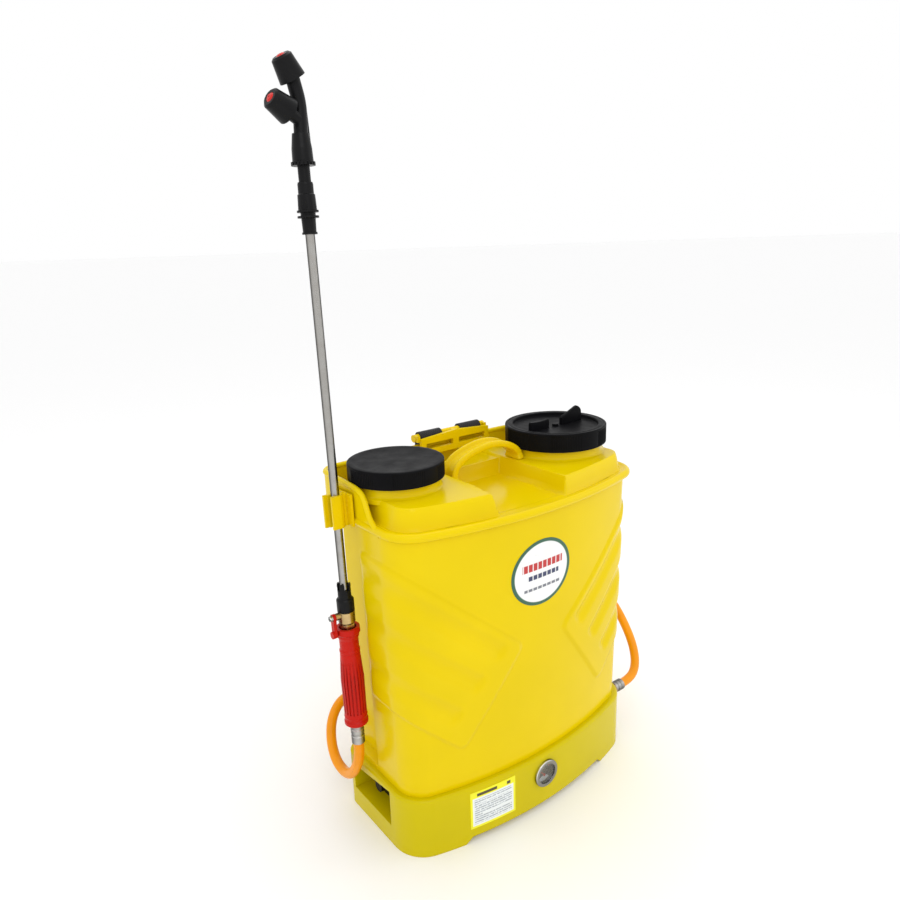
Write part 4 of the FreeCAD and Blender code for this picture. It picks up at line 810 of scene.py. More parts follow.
def topSheet(shape):
    inset = 12.4
    halfWidth = rim["half"] - inset
    xs = topSpread(-halfWidth, halfWidth, tank["topStep"], 0.35)
    count = int((rim["front"] + rim["back"]) / tank["topStep"])
    grid = []
    for x in xs:
        near, far = rimEdge(x, inset, True), rimEdge(x, inset, False)
        line = []
        for index in range(count + 1):
            y = near + (far - near) * index / count
            line.append(shape.verts.new((x, y, topHeight(x, y))))
        grid.append(line)
    for first, second in zip(grid, grid[1:]):
        for index in range(count):
            shape.faces.new((first[index], second[index], second[index + 1], first[index + 1]))
    border = grid[0] + [line[-1] for line in grid[1:]] + grid[-1][-2::-1]
    border += [line[0] for line in grid[-2:0:-1]]
    return loopEdges(shape, border)


def pocketTool(name, x, y, radius, low):
    # a round cutter that opens a mouth in the tank
    high = mouths["cutTop"]
    verts, faces = scaled(lathed([(0.0, low), (radius, low), (radius, high), (0.0, high)], (x, y), 128))
    mesh = bpy.data.meshes.new(name)
    mesh.from_pydata([tuple(v) for v in verts], [], faces)
    tool = placed(name, mesh)
    finishMesh(tool, 30.0)
    return tool


def cutWith(piece, tools):
    for tool in tools:
        cut = piece.modifiers.new("cut", "BOOLEAN")
        cut.operation = "DIFFERENCE"
        cut.solver = "MANIFOLD"
        cut.object = tool
    applyModifiers(piece)
    for tool in tools:
        bpy.data.objects.remove(tool)


def applyModifiers(piece):
    bpy.context.view_layer.update()
    evaluated = piece.evaluated_get(bpy.context.evaluated_depsgraph_get())
    mesh = bpy.data.meshes.new_from_object(evaluated)
    old = piece.data
    piece.modifiers.clear()
    piece.data = mesh
    bpy.data.meshes.remove(old)


# each neck's x, y, bore, outer radius, top and foot
mouths = {"fill": (122.0, -5.0, 57.5, 61.0, 464.0, 440.0),
          "well": (-129.0, 1.0, 46.5, 50.0, 469.0, 443.0),
          "fillFloor": 100.0, "wellShelf": 420.0, "wellFloor": 353.0, "cupBore": 35.0,
          "cutTop": 480.0, "play": 0.6}


def neck(x, y, bore, outer, top, foot):
    # a threaded neck with a flared foot
    profile = [(bore, foot - 6.0), (bore, top - 0.8), (bore + 0.8, top), (outer - 0.8, top),
               (outer, top - 0.8), (outer, top - 5.0), (outer, foot + 5.0), (outer + 0.5, foot + 2.5),
               (outer + 1.8, foot + 0.8), (outer + 4.0, foot - 0.2), (outer + 4.0, foot - 6.0)]
    return lathed(profile, (x, y), 160)


# the side flange: (y, z) along its left part, (x, z) down its right end, then its lip and wall
flange = {
    "left": [(-52.0, 411.0), (-46.0, 415.0), (-39.0, 419.0), (-32.0, 425.0), (-27.0, 434.0),
             (-22.5, 444.0), (-16.0, 451.0), (-4.0, 454.0), (20.0, 455.0), (50.0, 455.5)],
    "turn": (15, 35, 55, 75), "top": 455.5, "inset": 4.0,
    "right": [(118.0, 454.5), (130.0, 450.0), (138.0, 441.0), (145.0, 430.0), (153.0, 421.5),
              (164.0, 416.0)],
    "end": (171.0, 411.0), "endInset": 0.5,
    "lipRadius": 3.4, "halfThick": 1.7, "foot": 412.0, "lowest": 411.0,
}


def flangePath():
    # the top edge of the side flange: up from the rim on the left, round the back, down on the right
    inset, top = flange["inset"], flange["top"]
    half, back, rear = rim["half"] - inset, rim["back"] - inset, rim["rear"] - inset
    points = [(-half, y, z) for y, z in flange["left"]]
    rearX, rearY = rim["half"] - rim["rear"], rim["back"] - rim["rear"]
    for degrees in flange["turn"]:
        angle = math.radians(degrees)
        points.append((-rearX - rear * math.cos(angle), rearY + rear * math.sin(angle), top))
    points += [(x, back, top) for x in range(-150, 101, 50)]
    points += [(x, back, z) for x, z in flange["right"]]
    endX, endZ = flange["end"]
    return points + [(endX, back - flange["endInset"], endZ)]


def flangeParts():
    # a rolled lip along the top edge and a thin wall from it down to the rim
    route = [Vector(point) * mm for point in flangePath()]
    line = splinePoints("flangeLine", route, 3, 6)
    lip = swept(line, lambda index, share: circleSection(flange["lipRadius"] * mm, 14))[:2]
    thick, foot, lowest = (flange[key] * mm for key in ("halfThick", "foot", "lowest"))
    verts = []
    for point, (tangent, side, rise) in zip(line, pathFrames(line)):
        outward = Vector((tangent.y, -tangent.x, 0.0))
        outward = outward.normalized() if outward.length > 1e-6 else Vector((-1.0, 0.0, 0.0))
        for reach, height in ((thick, foot), (thick, point.z), (-thick, point.z), (-thick, foot)):
            spot = point + outward * reach
            verts.append(Vector((spot.x, spot.y, max(min(height, point.z), lowest))))
    return lip, (verts, tubeFaces(len(line), 4))


def makeTank():
    shape = tankShell()
    mesh = bpy.data.meshes.new("tankSkin")
    bmesh.ops.scale(shape, vec=(mm, mm, mm), verts=shape.verts)
    shape.to_mesh(mesh)
    shape.free()
    piece = placed("tankSkin", mesh)
    fillX, fillY, fillBore = mouths["fill"][:3]
    wellX, wellY, wellBore = mouths["well"][:3]
    cutWith(piece, [pocketTool("fillTool", fillX, fillY, fillBore + mouths["play"], mouths["fillFloor"]),
                    pocketTool("wellTool", wellX, wellY, wellBore + mouths["play"], mouths["wellShelf"]),
                    pocketTool("cupTool", wellX, wellY, mouths["cupBore"], mouths["wellFloor"])])
    finishMesh(piece, 48.0)
    piece.data.materials.clear()
    piece.data.materials.append(tankPlastic)
    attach(piece, "sprayer")
    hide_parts("tank_shell")
    for name, mouth in (("fillNeck", "fill"), ("wellNeck", "well")):
        makePiece(name, *scaled(neck(*mouths[mouth])), "sprayer", "tank_plastic", tankPlastic)
    makePiece("sideFlange", *joined(*flangeParts()), "sprayer", "tank_plastic", tankPlastic)
    print("tank made:", len(piece.data.polygons), "faces")


makeTank()


# lids: a ring with fine ribs in patches, a dish with two wings on the right one
fillLid = {"x": 122.0, "y": -5.0, "under": 468.9, "dish": 471.1, "ring": 57.0, "outer": 67.1,
           "inner": 61.5, "low": 452.0, "high": 476.0,
           "ribs": 192, "patches": 6, "ribbed": 0.6, "phase": 0.35, "depth": 0.55}
accessoryLid = {"x": -129.0, "y": 1.0, "under": 471.9, "outer": 56.4, "inner": 50.5, "low": 455.0,
                "high": 475.0, "ribs": 150, "patches": 6, "ribbed": 0.62, "phase": 0.1, "depth": 0.5}
wings = {"half": 2.6, "low": [(-46.0, -0.6), (-46.0, 10.6), (-44.8, 12.0), (-36.0, 11.2), (-28.0, 10.9),
                              (-20.0, 11.3), (-15.2, 12.0), (-14.0, 10.8), (-14.0, -0.6)],
         "high": [(10.0, -0.6), (10.0, 9.0), (11.2, 10.4), (20.0, 13.6), (36.5, 20.6), (39.5, 21.3),
                  (41.6, 20.4), (45.2, 17.4), (46.4, 15.0), (47.0, -0.6)]}


def ribWobble(lid):
    def wobble(angle, radius, height):
        if radius < lid["outer"] - 0.6 or not lid["low"] + 1.2 < height < lid["high"] - 2.0:
            return 0.0
        share = (angle / (2 * math.pi) * lid["patches"] + lid["phase"]) % 1.0
        if share > lid["ribbed"]:
            return 0.0
        return -lid["depth"] * (0.5 - 0.5 * math.cos(lid["ribs"] * angle))
    return wobble


def ringSide(lid):
    # the outside of a lid from its top edge down, with a step near the bottom
    outer, low, high = lid["outer"], lid["low"], lid["high"]
    return [(outer - 1.6, high), (outer - 0.9, high - 0.15), (outer - 0.3, high - 0.6), (outer, high - 1.3),
            (outer, high - 1.9), (outer, high - 2.3), (outer, high - 8.0), (outer, low + 5.0),
            (outer, low + 1.5), (outer, low + 1.1), (outer, low + 0.4), (outer - 0.5, low)]


def wingPlate(outline, x, y, z, half):
    # an upright plate with softened edges, its outline given as (across, height)
    shape = bmesh.new()
    front = [shape.verts.new((x + across, y - half, z + height)) for across, height in outline]
    face = shape.faces.new(front)
    moved = bmesh.ops.extrude_face_region(shape, geom=[face])["geom"]
    far = [item for item in moved if isinstance(item, bmesh.types.BMVert)]
    bmesh.ops.translate(shape, vec=(0, 2 * half, 0), verts=far)
    bmesh.ops.recalc_face_normals(shape, faces=shape.faces)
    rims = [e for e in shape.edges if abs(e.verts[0].co.y - e.verts[1].co.y) < 1e-6 and
            min(e.verts[0].co.z, e.verts[1].co.z) > z]
    bmesh.ops.bevel(shape, geom=rims, offset=0.9, segments=3, profile=0.5, affect="EDGES")
    shape.verts.index_update()
    part = [tuple(v.co) for v in shape.verts], [[v.index for v in f.verts] for f in shape.faces]
    shape.free()
    return part


def makeFillLid(lid):
    dish, ring, high, outer = (lid[key] for key in ("dish", "ring", "high", "outer"))
    top = [(0.0, dish), (20.0, dish), (52.0, dish), (ring - 1.8, dish + 0.2), (ring - 0.7, dish + 1.0),
           (ring - 0.2, high - 0.9), (ring + 0.7, high - 0.1), (ring + 1.6, high), (outer - 5.0, high),
           (outer - 4.4, high - 0.35), (outer - 3.8, high - 0.35), (outer - 3.2, high)]
    under = [(lid["inner"], lid["low"]), (lid["inner"], lid["under"]), (0.0, lid["under"])]
    body = lathed(top + ringSide(lid) + under, (lid["x"], lid["y"]), 768, ribWobble(lid))
    plates = [wingPlate(wings[side], lid["x"], lid["y"], dish, wings["half"]) for side in ("low", "high")]
    piece = makePiece("fillLid", *scaled(joined(body, *plates)), "fill_cap", "lid_plastic", lidPlastic,
                      34.0)
    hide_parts("fill_lid")


def makeAccessoryLid(lid):
    high = lid["high"]
    top = [(0.0, high - 0.5), (25.0, high - 0.5), (lid["outer"] - 8.0, high - 0.35),
           (lid["outer"] - 6.5, high - 0.1), (lid["outer"] - 5.0, high)]
    under = [(lid["inner"], lid["low"]), (lid["inner"], lid["under"]), (0.0, lid["under"])]
    body = lathed(top + ringSide(lid) + under, (lid["x"], lid["y"]), 600, ribWobble(lid))
    piece = makePiece("accessoryLid", *scaled(body), "accessory_cap", "lid_plastic", lidPlastic, 34.0)
    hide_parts("accessory_lid")


makeFillLid(fillLid)
makeAccessoryLid(accessoryLid)
print("lids made")


# carry handle: a broad arch with raised edges and flared feet
handle = {"route": [(-53.0, 421.0), (-53.0, 434.0), (-52.0, 446.0), (-44.0, 454.5), (-30.0, 461.5),
                    (-12.0, 466.2), (5.0, 468.4), (20.0, 467.2), (34.0, 463.0), (46.0, 456.0),
                    (52.0, 449.5), (53.0, 445.0), (53.0, 440.6)],
          "section": [(-4.0, -10.6), (-4.0, 10.6), (-3.6, 11.6), (-2.6, 12.0), (2.4, 12.0), (3.4, 11.7),
                      (4.0, 10.8), (4.0, 9.4), (3.5, 8.3), (2.4, 7.6), (0.4, 7.1), (-0.7, 6.2), (-1.0, 4.5),
                      (-1.0, -4.5), (-0.7, -6.2), (0.4, -7.1), (2.4, -7.6), (3.5, -8.3), (4.0, -9.4),
                      (4.0, -10.8), (3.4, -11.7), (2.4, -12.0), (-2.6, -12.0), (-3.6, -11.6)],
          "flare": 0.22}


def makeHandle(setup):
    line = splinePoints("handleLine", [(x * mm, 0.0, z * mm) for x, z in setup["route"]], 3, 8)

    def outline(index, share):
        grow = 1.0 + setup["flare"] * (1.0 - smoothStep(0.0, 0.10, min(share, 1.0 - share)))
        widen = (2.0 * grow + 1.0) / 3.0
        return [(across * grow * mm, along * widen * mm) for across, along in setup["section"]]

    verts, faces, uvs = swept(line, outline, Vector((0, 1, 0)))
    piece = makePiece("carryHandle", verts, faces, "sprayer", "trim_plastic", trimPlastic, 50.0)
    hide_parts("carry_handle")


makeHandle(handle)
print("handle made")


# shoulder straps: padded cloth that swells between its stitched edges, with binding and webbing
strap = {
    "stations": [(0.0, 88.4, 462, 34, 2.4), (1.0, 90, 446, 36, 3.0), (6.0, 97, 424, 48, 7.0),
                 (52.0, 112, 370, 49, 8.0), (76.0, 125, 310, 49, 8.0), (96.0, 129, 250, 47, 8.0),
                 (110.0, 126, 206, 41, 6.5), (114.0, 124, 194, 30, 3.0)],
    "tops": {"left": -25.0, "right": 40.0}, "rodY": 81.0, "rodZ": 468.0,
    "voxel": 0.004, "pressure": 4.0, "swell": 0.0022, "frames": 20,
    "bindingReach": 1.9, "bindingInset": 0.0040, "stitchInset": 0.0090, "stitchLift": 0.0008,
    "stitchPitch": 0.0042, "threadRadius": 0.00035, "threadRise": 0.0006,
    "loopInner": 5.4, "loopThick": 2.4, "loopWidth": 34.0,
}


def strapLine(side):
    # centre points, half widths and half thicknesses down one strap, in metres
    sign = -1.0 if side == "left" else 1.0
    top = strap["tops"][side]
    rows = []
    for index, (x, y, z, width, thick) in enumerate(strap["stations"]):
        across = top + sign * x if index < 3 else sign * x
        rows.append((across, y, z, width / 2, thick / 2))
    route = splinePoints("strapLine", [(x * mm, y * mm, z * mm) for x, y, z, w, t in rows], 3, 10)
    heights = [row[2] * mm for row in rows]
    widths, thicks = [], []
    for point in route:
        index = max(0, min(len(heights) - 2, sum(1 for h in heights if h >= point.z) - 1))
        share = (heights[index] - point.z) / (heights[index] - heights[index + 1])
        share = min(1.0, max(0.0, share))
        share = share * share * (3 - 2 * share)
        widths.append((rows[index][3] + (rows[index + 1][3] - rows[index][3]) * share) * mm)
        thicks.append((rows[index][4] + (rows[index + 1][4] - rows[index][4]) * share) * mm)
    return route, widths, thicks


def strapFrames(route):
    # tangent, sideways and outward directions along the strap
    frames = []
    for index in range(len(route)):
        tangent = (route[min(index + 1, len(route) - 1)] - route[max(index - 1, 0)]).normalized()
        outward = Vector((0, 1, 0))
        outward = (outward - tangent * outward.dot(tangent)).normalized()
        frames.append((tangent, tangent.cross(outward).normalized(), outward))
    return frames


def strapBody(route, widths, thicks):
    # a closed lens-shaped band, before it is filled
    verts = []
    sides = 20
    for point, (tangent, across, outward), half, thick in zip(route, strapFrames(route), widths, thicks):
        for step in range(sides):
            angle = 2 * math.pi * step / sides
            bulge = math.copysign(abs(math.sin(angle)) ** 0.8, math.sin(angle))
            reach = math.copysign(abs(math.cos(angle)) ** 0.55, math.cos(angle))
            verts.append(point + across * (half * reach) + outward * (thick * bulge))
    return verts, tubeFaces(len(route), sides)


def fillCloth(piece):
    # the padding swells the cover: remesh, a short cloth simulation under pressure, capped
    remesh = piece.modifiers.new("remesh", "REMESH")
    remesh.mode = "VOXEL"
    remesh.voxel_size = strap["voxel"]
    applyModifiers(piece)
    start = [vertex.co.copy() for vertex in piece.data.vertices]
    sim = piece.modifiers.new("fill", "CLOTH")
    sim.settings.use_pressure = True
    sim.settings.uniform_pressure_force = strap["pressure"]
    sim.settings.effector_weights.gravity = 0.0
    sim.settings.quality = 5
    sim.settings.tension_stiffness = 15.0
    sim.settings.compression_stiffness = 15.0
    sim.settings.bending_stiffness = 0.5
    sim.point_cache.frame_start = 1
    sim.point_cache.frame_end = strap["frames"]
    for number in range(1, strap["frames"] + 1):
        bpy.context.scene.frame_set(number)
    applyModifiers(piece)
    bpy.context.scene.frame_set(1)
    for vertex, origin in zip(piece.data.vertices, start):
        step = vertex.co - origin
        if step.length > strap["swell"]:
            vertex.co = origin + step.normalized() * strap["swell"]
    smooth = piece.modifiers.new("smooth", "SMOOTH")
    smooth.factor = 0.5
    smooth.iterations = 4
    finer = piece.modifiers.new("finer", "SUBSURF")
    finer.levels = finer.render_levels = 1
    applyModifiers(piece)


def bindingLine(route, widths, side):
    # the stitched edge of the strap, one side
    points = []
    for point, (tangent, across, outward), half in zip(route, strapFrames(route), widths):
        points.append(point + across * (side * (half - strap["bindingInset"])))
    return points


def tapeSection(half, thick):
    return [(-half, -thick), (half, -thick), (half, thick), (-half, thick)]


def stitchParts(points, lift, pitch):
    # short raised threads along a line
    parts = []
    travelled, due = 0.0, pitch
    for before, after in zip(points, points[1:]):
        length = (after - before).length
        while due < travelled + length:
            middle = before.lerp(after, (due - travelled) / length)
            way = (after - before).normalized()
            ends = [middle - way * pitch * 0.30, middle - way * pitch * 0.15 + lift, middle + lift,
                    middle + way * pitch * 0.15 + lift, middle + way * pitch * 0.30]
            parts.append(swept(ends, lambda index, share: circleSection(strap["threadRadius"], 6))[:2])
            due += pitch
        travelled += length
    return parts


def makeStrap(side):
    route, widths, thicks = strapLine(side)
    name = "strapPad" + side.capitalize()
    piece = makePiece(name, *strapBody(route, widths, thicks), "sprayer", "strap_fabric", strapCloth, 60.0)
    fillCloth(piece)
    finishMesh(piece, 60.0)
    reach = strap["bindingReach"] * mm
    edges = [swept(bindingLine(route, widths, sign), lambda index, share: circleSection(reach, 10))[:2]
             for sign in (-1.0, 1.0)]
    makePiece("strapBinding" + side.capitalize(), *joined(*edges), "sprayer", "webbing", webbingCloth, 60.0)
    seams = []
    for sign in (-1.0, 1.0):
        seam = []
        for point, (tangent, across, outward), half, thick in zip(route, strapFrames(route), widths, thicks):
            seam.append(point + across * (sign * (half - strap["stitchInset"]))
                        + outward * (thick * 0.80 + strap["stitchLift"]))
        seams += stitchParts(seam[6:-5], Vector((0, strap["threadRise"], 0)), strap["stitchPitch"])
    makePiece("strapStitch" + side.capitalize(), *joined(*seams), "sprayer", "strap_fabric", threadCloth,
              60.0)
    makeLoop(side)
    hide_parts("shoulder_strap_" + side)


def makeLoop(side):
    # a flat band round the hanger bar whose two ends are sewn to the pad
    y, z = strap["rodY"], strap["rodZ"]
    middle = (strap["loopInner"] + strap["loopThick"] / 2)
    turns = [(y + 7.9, z - 28.0), (y + 7.4, z - 18.0), (y + 7.4, z - 8.0), (y + middle, z - 1.0)]
    turns += [(y + middle * math.cos(math.radians(a)), z + middle * math.sin(math.radians(a)))
              for a in range(20, 261, 20)]
    turns += [(y + 3.6, z - 8.6), (y + 5.0, z - 10.5)]
    points = [Vector((strap["tops"][side], py, pz)) * mm for py, pz in turns]
    line = splinePoints("loopLine", points, 3, 6)
    outline = tapeSection(strap["loopWidth"] / 2 * mm, strap["loopThick"] / 2 * mm)
    verts, faces, uvs = swept(line, lambda index, share: outline, Vector((0, 1, 0)))
    makePiece("strapLoop" + side.capitalize(), verts, faces, "sprayer", "webbing", webbingCloth, 50.0)


webbing = {"spots": [(115.5, 122.5, 187.0), (128.0, 112.0, 140.0), (140.0, 93.0, 90.0),
                     (147.0, 79.0, 56.0), (150.0, 73.0, 44.0), (150.0, 71.5, 36.0)],
           "half": 12.0, "thick": 0.9}


def makeWebbing(side):
    sign = -1.0 if side == "left" else 1.0
    spots = [(sign * x * mm, y * mm, z * mm) for x, y, z in webbing["spots"]]
    line = splinePoints("webbingLine", spots, 3, 8)
    outline = tapeSection(webbing["half"] * mm, webbing["thick"] * mm)
    verts = []
    for point, (tangent, across, outward) in zip(line, strapFrames(line)):
        verts += [point + across * over + outward * above for over, above in outline]
    faces = tubeFaces(len(line), len(outline))
    piece = makePiece("webbing" + side.capitalize(), verts, faces, "sprayer", "webbing", webbingCloth, 50.0)
    return piece


for side in ("left", "right"):
    makeStrap(side)
leftWebbing, rightWebbing = [makeWebbing(side) for side in ("left", "right")]
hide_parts("strap_webbing")
print("straps made")


# labels and the gauge's dial: printed shapes drawn in the object's own X and Z
def planeCoordinates(tree, centre):
    # (x, z) in millimetres from a centre given in millimetres
    split = tree.nodes.new("ShaderNodeSeparateXYZ")
    tree.links.new(tree.nodes.new("ShaderNodeTexCoord").outputs["Object"], split.inputs[0])
    x = mathNode(tree, "SUBTRACT", mathNode(tree, "MULTIPLY", split.outputs["X"], 1000.0), centre[0])
    z = mathNode(tree, "SUBTRACT", mathNode(tree, "MULTIPLY", split.outputs["Z"], 1000.0), centre[1])
    return x, z


def barMask(tree, x, z, middle, half, edge=0.35):
    # 1 inside an upright box with a soft edge
    over = []
    for value, centre, reach in ((x, middle[0], half[0]), (z, middle[1], half[1])):
        offset = mathNode(tree, "ABSOLUTE", mathNode(tree, "SUBTRACT", value, centre))
        over.append(mathNode(tree, "SUBTRACT", offset, reach))
    return rangeNode(tree, mathNode(tree, "MAXIMUM", *over), -edge, edge, 1.0, 0.0)


def ovalRadius(tree, x, z, wide, tall):
    first = mathNode(tree, "POWER", mathNode(tree, "DIVIDE", x, wide), 2.0)
    second = mathNode(tree, "POWER", mathNode(tree, "DIVIDE", z, tall), 2.0)
    return mathNode(tree, "SQRT", mathNode(tree, "ADD", first, second))


def printedLabel(name, ground, roughness=0.32):
    material, tree, shader = newMaterial(name)
    detail = placeGroup(tree, mouldedGroup, {"Colour": (*ground, 1.0), "Cloud": 0.03, "Scale": 30.0,
                                             "Roughness": roughness, "Unevenness": 0.06, "Dust": 0.0,
                                             "Wave": 0.2})
    return material, tree, shader, detail


def finishLabel(tree, shader, colour, detail):
    wireSurface(tree, shader, colour, detail.outputs["Roughness"], detail.outputs["Height"], 0.12, 0.0003)
    shader.inputs["Coat Weight"].default_value = 0.25
    shader.inputs["Coat Roughness"].default_value = 0.15


frontPrint = {"centre": (-3.0, 334.0), "half": (47.0, 42.0), "ring": (0.90, 1.2),
              "white": (0.86, 0.87, 0.86), "green": (0.012, 0.10, 0.05), "red": (0.50, 0.012, 0.012),
              "navy": (0.02, 0.03, 0.10), "grey": (0.16, 0.17, 0.20),
              "marks": [("red", (1.0, 9.5), (32.0, 4.8)), ("navy", (2.0, -4.0), (25.0, 3.0)),
                        ("grey", (1.0, -19.0), (29.0, 1.8))],
              "gaps": 7.4}


def makeFrontLabel(setup):
    # a green ring round a white field with three bars of blank blocks
    material, tree, shader, detail = printedLabel("frontLabelPrint", setup["white"])
    x, z = planeCoordinates(tree, setup["centre"])
    colour = detail.outputs["Colour"]
    radius = ovalRadius(tree, x, z, *setup["half"])
    inner, outer = setup["ring"]
    ring = mathNode(tree, "MULTIPLY", rangeNode(tree, radius, inner - 0.01, inner + 0.01),
                    rangeNode(tree, radius, outer - 0.01, outer + 0.01, 1.0, 0.0))
    colour = mixColour(tree, ring, colour, (*setup["green"], 1.0))
    blocks = mathNode(tree, "PINGPONG", x, setup["gaps"] / 2)
    blocks = rangeNode(tree, blocks, 0.5, 0.9)
    for tint, middle, half in setup["marks"]:
        bar = mathNode(tree, "MULTIPLY", barMask(tree, x, z, middle, half), blocks)
        colour = mixColour(tree, bar, colour, (*setup[tint], 1.0))
    finishLabel(tree, shader, colour, detail)
    return material


noticePrint = {"centre": (-82.0, 46.0), "field": ((0.0, -3.0), (29.0, 20.0)),
               "heading": ((-9.0, 21.0), (14.0, 2.1)), "sign": ((22.0, 21.0), (2.6, 2.2)),
               "blank": [((6.0, 9.0), (24.0, 1.3)), ((6.0, -8.0), (22.0, 1.3))],
               "linePitch": 3.2, "margin": (26.5, 17.5), "yellow": (0.86, 0.83, 0.0),
               "white": (0.80, 0.84, 0.86), "dark": (0.06, 0.04, 0.01), "grey": (0.33, 0.37, 0.42)}


def makeNoticeLabel(setup):
    # a yellow border with a dark heading bar, and grey lines on a pale field
    material, tree, shader, detail = printedLabel("noticeLabelPrint", setup["yellow"])
    x, z = planeCoordinates(tree, setup["centre"])
    colour = mixColour(tree, barMask(tree, x, z, *setup["field"]), detail.outputs["Colour"],
                       (*setup["white"], 1.0))
    for part in ("heading", "sign"):
        colour = mixColour(tree, barMask(tree, x, z, *setup[part]), colour, (*setup["dark"], 1.0))
    lines = rangeNode(tree, mathNode(tree, "PINGPONG", z, setup["linePitch"] / 2), 0.55, 0.95)
    place = tree.nodes.new("ShaderNodeTexCoord").outputs["Object"]
    words = rangeNode(tree, noiseNode(tree, place, 420.0, 2.0, 0.6), 0.40, 0.46)
    lines = mathNode(tree, "MULTIPLY", lines, words)
    lines = mathNode(tree, "MULTIPLY", lines, barMask(tree, x, z, setup["field"][0], setup["margin"]))
    for middle, half in setup["blank"]:
        lines = mathNode(tree, "MULTIPLY", lines,
                         mathNode(tree, "SUBTRACT", 1.0, barMask(tree, x, z, middle, half)))
    colour = mixColour(tree, lines, colour, (*setup["grey"], 1.0))
    finishLabel(tree, shader, colour, detail)
    return material


dialPrint = {"centre": (0.0, 52.0), "ground": (0.035, 0.020, 0.016), "white": (0.72, 0.75, 0.78),
             "red": (0.42, 0.02, 0.015), "capDrop": 17.5, "capRadius": 11.0, "arc": (9.0, 11.6),
             "ticks": (7.4, 9.8), "tickPitch": 0.52}


def makeDialPrint(setup):
    # dark brown dial: a pale cap at the bottom, pale ticks on the left and a red arc on the right
    material, tree, shader, detail = printedLabel("dialPrint", setup["ground"], 0.4)
    x, z = planeCoordinates(tree, setup["centre"])
    radius = mathNode(tree, "SQRT", mathNode(tree, "ADD", mathNode(tree, "MULTIPLY", x, x),
                                             mathNode(tree, "MULTIPLY", z, z)))
    turn = mathNode(tree, "ARCTAN2", z, x)
    below = ovalRadius(tree, x, mathNode(tree, "ADD", z, setup["capDrop"]), setup["capRadius"],
                       setup["capRadius"])
    colour = mixColour(tree, rangeNode(tree, below, 0.96, 1.0, 1.0, 0.0), detail.outputs["Colour"],
                       (*setup["white"], 1.0))

    def band(low, high):
        return mathNode(tree, "MULTIPLY", rangeNode(tree, radius, low - 0.2, low + 0.2),
                        rangeNode(tree, radius, high - 0.2, high + 0.2, 1.0, 0.0))

    arc = mathNode(tree, "MULTIPLY", band(*setup["arc"]),
                   mathNode(tree, "MULTIPLY", rangeNode(tree, turn, 0.35, 0.4),
                            rangeNode(tree, turn, 1.35, 1.4, 1.0, 0.0)))
    colour = mixColour(tree, arc, colour, (*setup["red"], 1.0))
    ticks = rangeNode(tree, mathNode(tree, "PINGPONG", turn, setup["tickPitch"] / 2), 0.16, 0.19)
    ticks = mathNode(tree, "MULTIPLY", ticks, band(*setup["ticks"]))
    ticks = mathNode(tree, "MULTIPLY", ticks, rangeNode(tree, turn, 1.0, 1.1))
    colour = mixColour(tree, ticks, colour, (*setup["white"], 1.0))
    finishLabel(tree, shader, colour, detail)
    return material


frontLabelPrint = makeFrontLabel(frontPrint)
noticeLabelPrint = makeNoticeLabel(noticePrint)
dialFacePrint = makeDialPrint(dialPrint)
print("labels drawn")


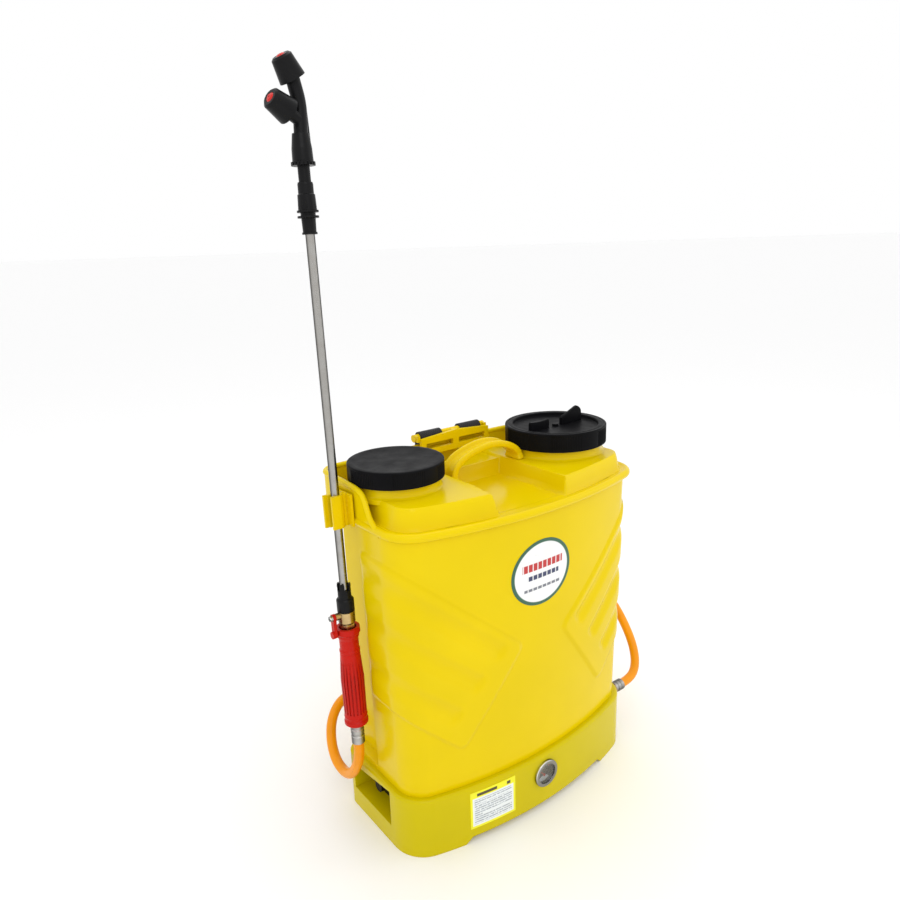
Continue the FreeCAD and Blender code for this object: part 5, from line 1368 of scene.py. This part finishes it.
# finishes of the pieces that keep their CAD shape
finishes = [
    (tankPlastic, ["tank_shell"]),
    (basePlastic, ["base_shell", "base_hatch", "strap_hooks"]),
    (zincSteel, ["hatch_screws", "base_screws", "pump_motor", "outlet_clamp", "grip_clamp"]),
    (trimPlastic, ["carry_handle", "strap_hanger", "lance_clip"]),
    (strainerPlastic, ["strainer"]),
    (batteryPlastic, ["battery"]),
    (webbingCloth, ["battery_strap", "strap_webbing"]),
    (tubeSteel, ["motor_shaft", "lance_tube"]),
    (pumpPlastic, ["pump_head"]),
    (blackPlastic, ["tank_outlet", "gauge_body", "control_panel", "switch_housing", "speed_knob",
                    "lance_sleeve", "tube_collar", "coupling_nut", "nozzle_stem", "nozzle_head",
                    "upper_cap", "lower_cap", "strap_buckles"]),
    (clearPlastic, ["suction_elbow", "pressure_hose", "gauge_lens"]),
    (brassMetal, ["outlet_barb", "valve_body"]),
    (redPlastic, ["gauge_needle", "rocker", "grip", "valve_lever"]),
    (chromeMetal, ["gauge_bezel", "speed_control", "charge_socket", "lever_screw"]),
    (cableSleeve, ["wiring"]),
    (rubberBlack, ["hose_tail", "fill_seal", "accessory_seal"]),
    (tipPlastic, ["upper_tip", "lower_tip"]),
    (lidPlastic, ["fill_lid", "breather_valve", "accessory_lid"]),
    (strapCloth, ["shoulder_strap_left", "shoulder_strap_right"]),
    (dialFacePrint, ["gauge_face"]),
    (frontLabelPrint, ["front_label"]),
    (noticeLabelPrint, ["notice_label"]),
]


def giveFinish(node, material):
    holder = nodes[node]
    if not holder.material_slots:
        holder.data.materials.append(material)
    for slot in holder.material_slots:
        slot.material = material


for finish, nodeNames in finishes:
    for nodeName in nodeNames:
        giveFinish(nodeName, finish)
print("finishes given")


# floor and light
studio = {"floor": (0.97, 0.97, 0.97), "reach": 60.0, "sky": (1.0, 1.0, 1.0), "skyStrength": 1.0}
lights = {
    "keyLight": {"place": (-0.9, -1.8, 1.9), "target": (0.0, 0.0, 0.25), "size": (1.4, 1.0), "power": 9.0},
    "topLight": {"place": (0.3, 0.2, 2.2), "target": (0.0, 0.0, 0.3), "size": (1.6, 1.2), "power": 5.0},
    "sideLight": {"place": (1.8, -1.2, 1.0), "target": (0.0, 0.0, 0.25), "size": (0.8, 1.4), "power": 3.0},
}


def makeStudio(setup):
    mesh = bpy.data.meshes.new("floor")
    reach = setup["reach"]
    mesh.from_pydata([(-reach, -reach, 0), (reach, -reach, 0), (reach, reach, 0), (-reach, reach, 0)],
                     [], [(0, 1, 2, 3)])
    floor = placed("floor", mesh)
    material, tree, shader = newMaterial("floorPaint")
    shader.inputs["Base Color"].default_value = (*setup["floor"], 1.0)
    shader.inputs["Roughness"].default_value = 0.75
    mesh.materials.append(material)
    world = bpy.data.worlds.new("studio")
    bpy.context.scene.world = world
    world.use_nodes = True
    background = world.node_tree.nodes["Background"]
    background.inputs["Color"].default_value = (*setup["sky"], 1.0)
    background.inputs["Strength"].default_value = setup["skyStrength"]
    bpy.context.scene.view_settings.view_transform = "Standard"


def addLight(name, place, target, size, power):
    data = bpy.data.lights.new(name, "AREA")
    data.shape = "RECTANGLE"
    data.size, data.size_y = size
    data.energy = power
    light = placed(name, data)
    light.location = place
    light.rotation_euler = (Vector(target) - Vector(place)).to_track_quat("-Z", "Y").to_euler()


makeStudio(studio)
for lightName, settings in lights.items():
    addLight(lightName, **settings)
print("studio made")
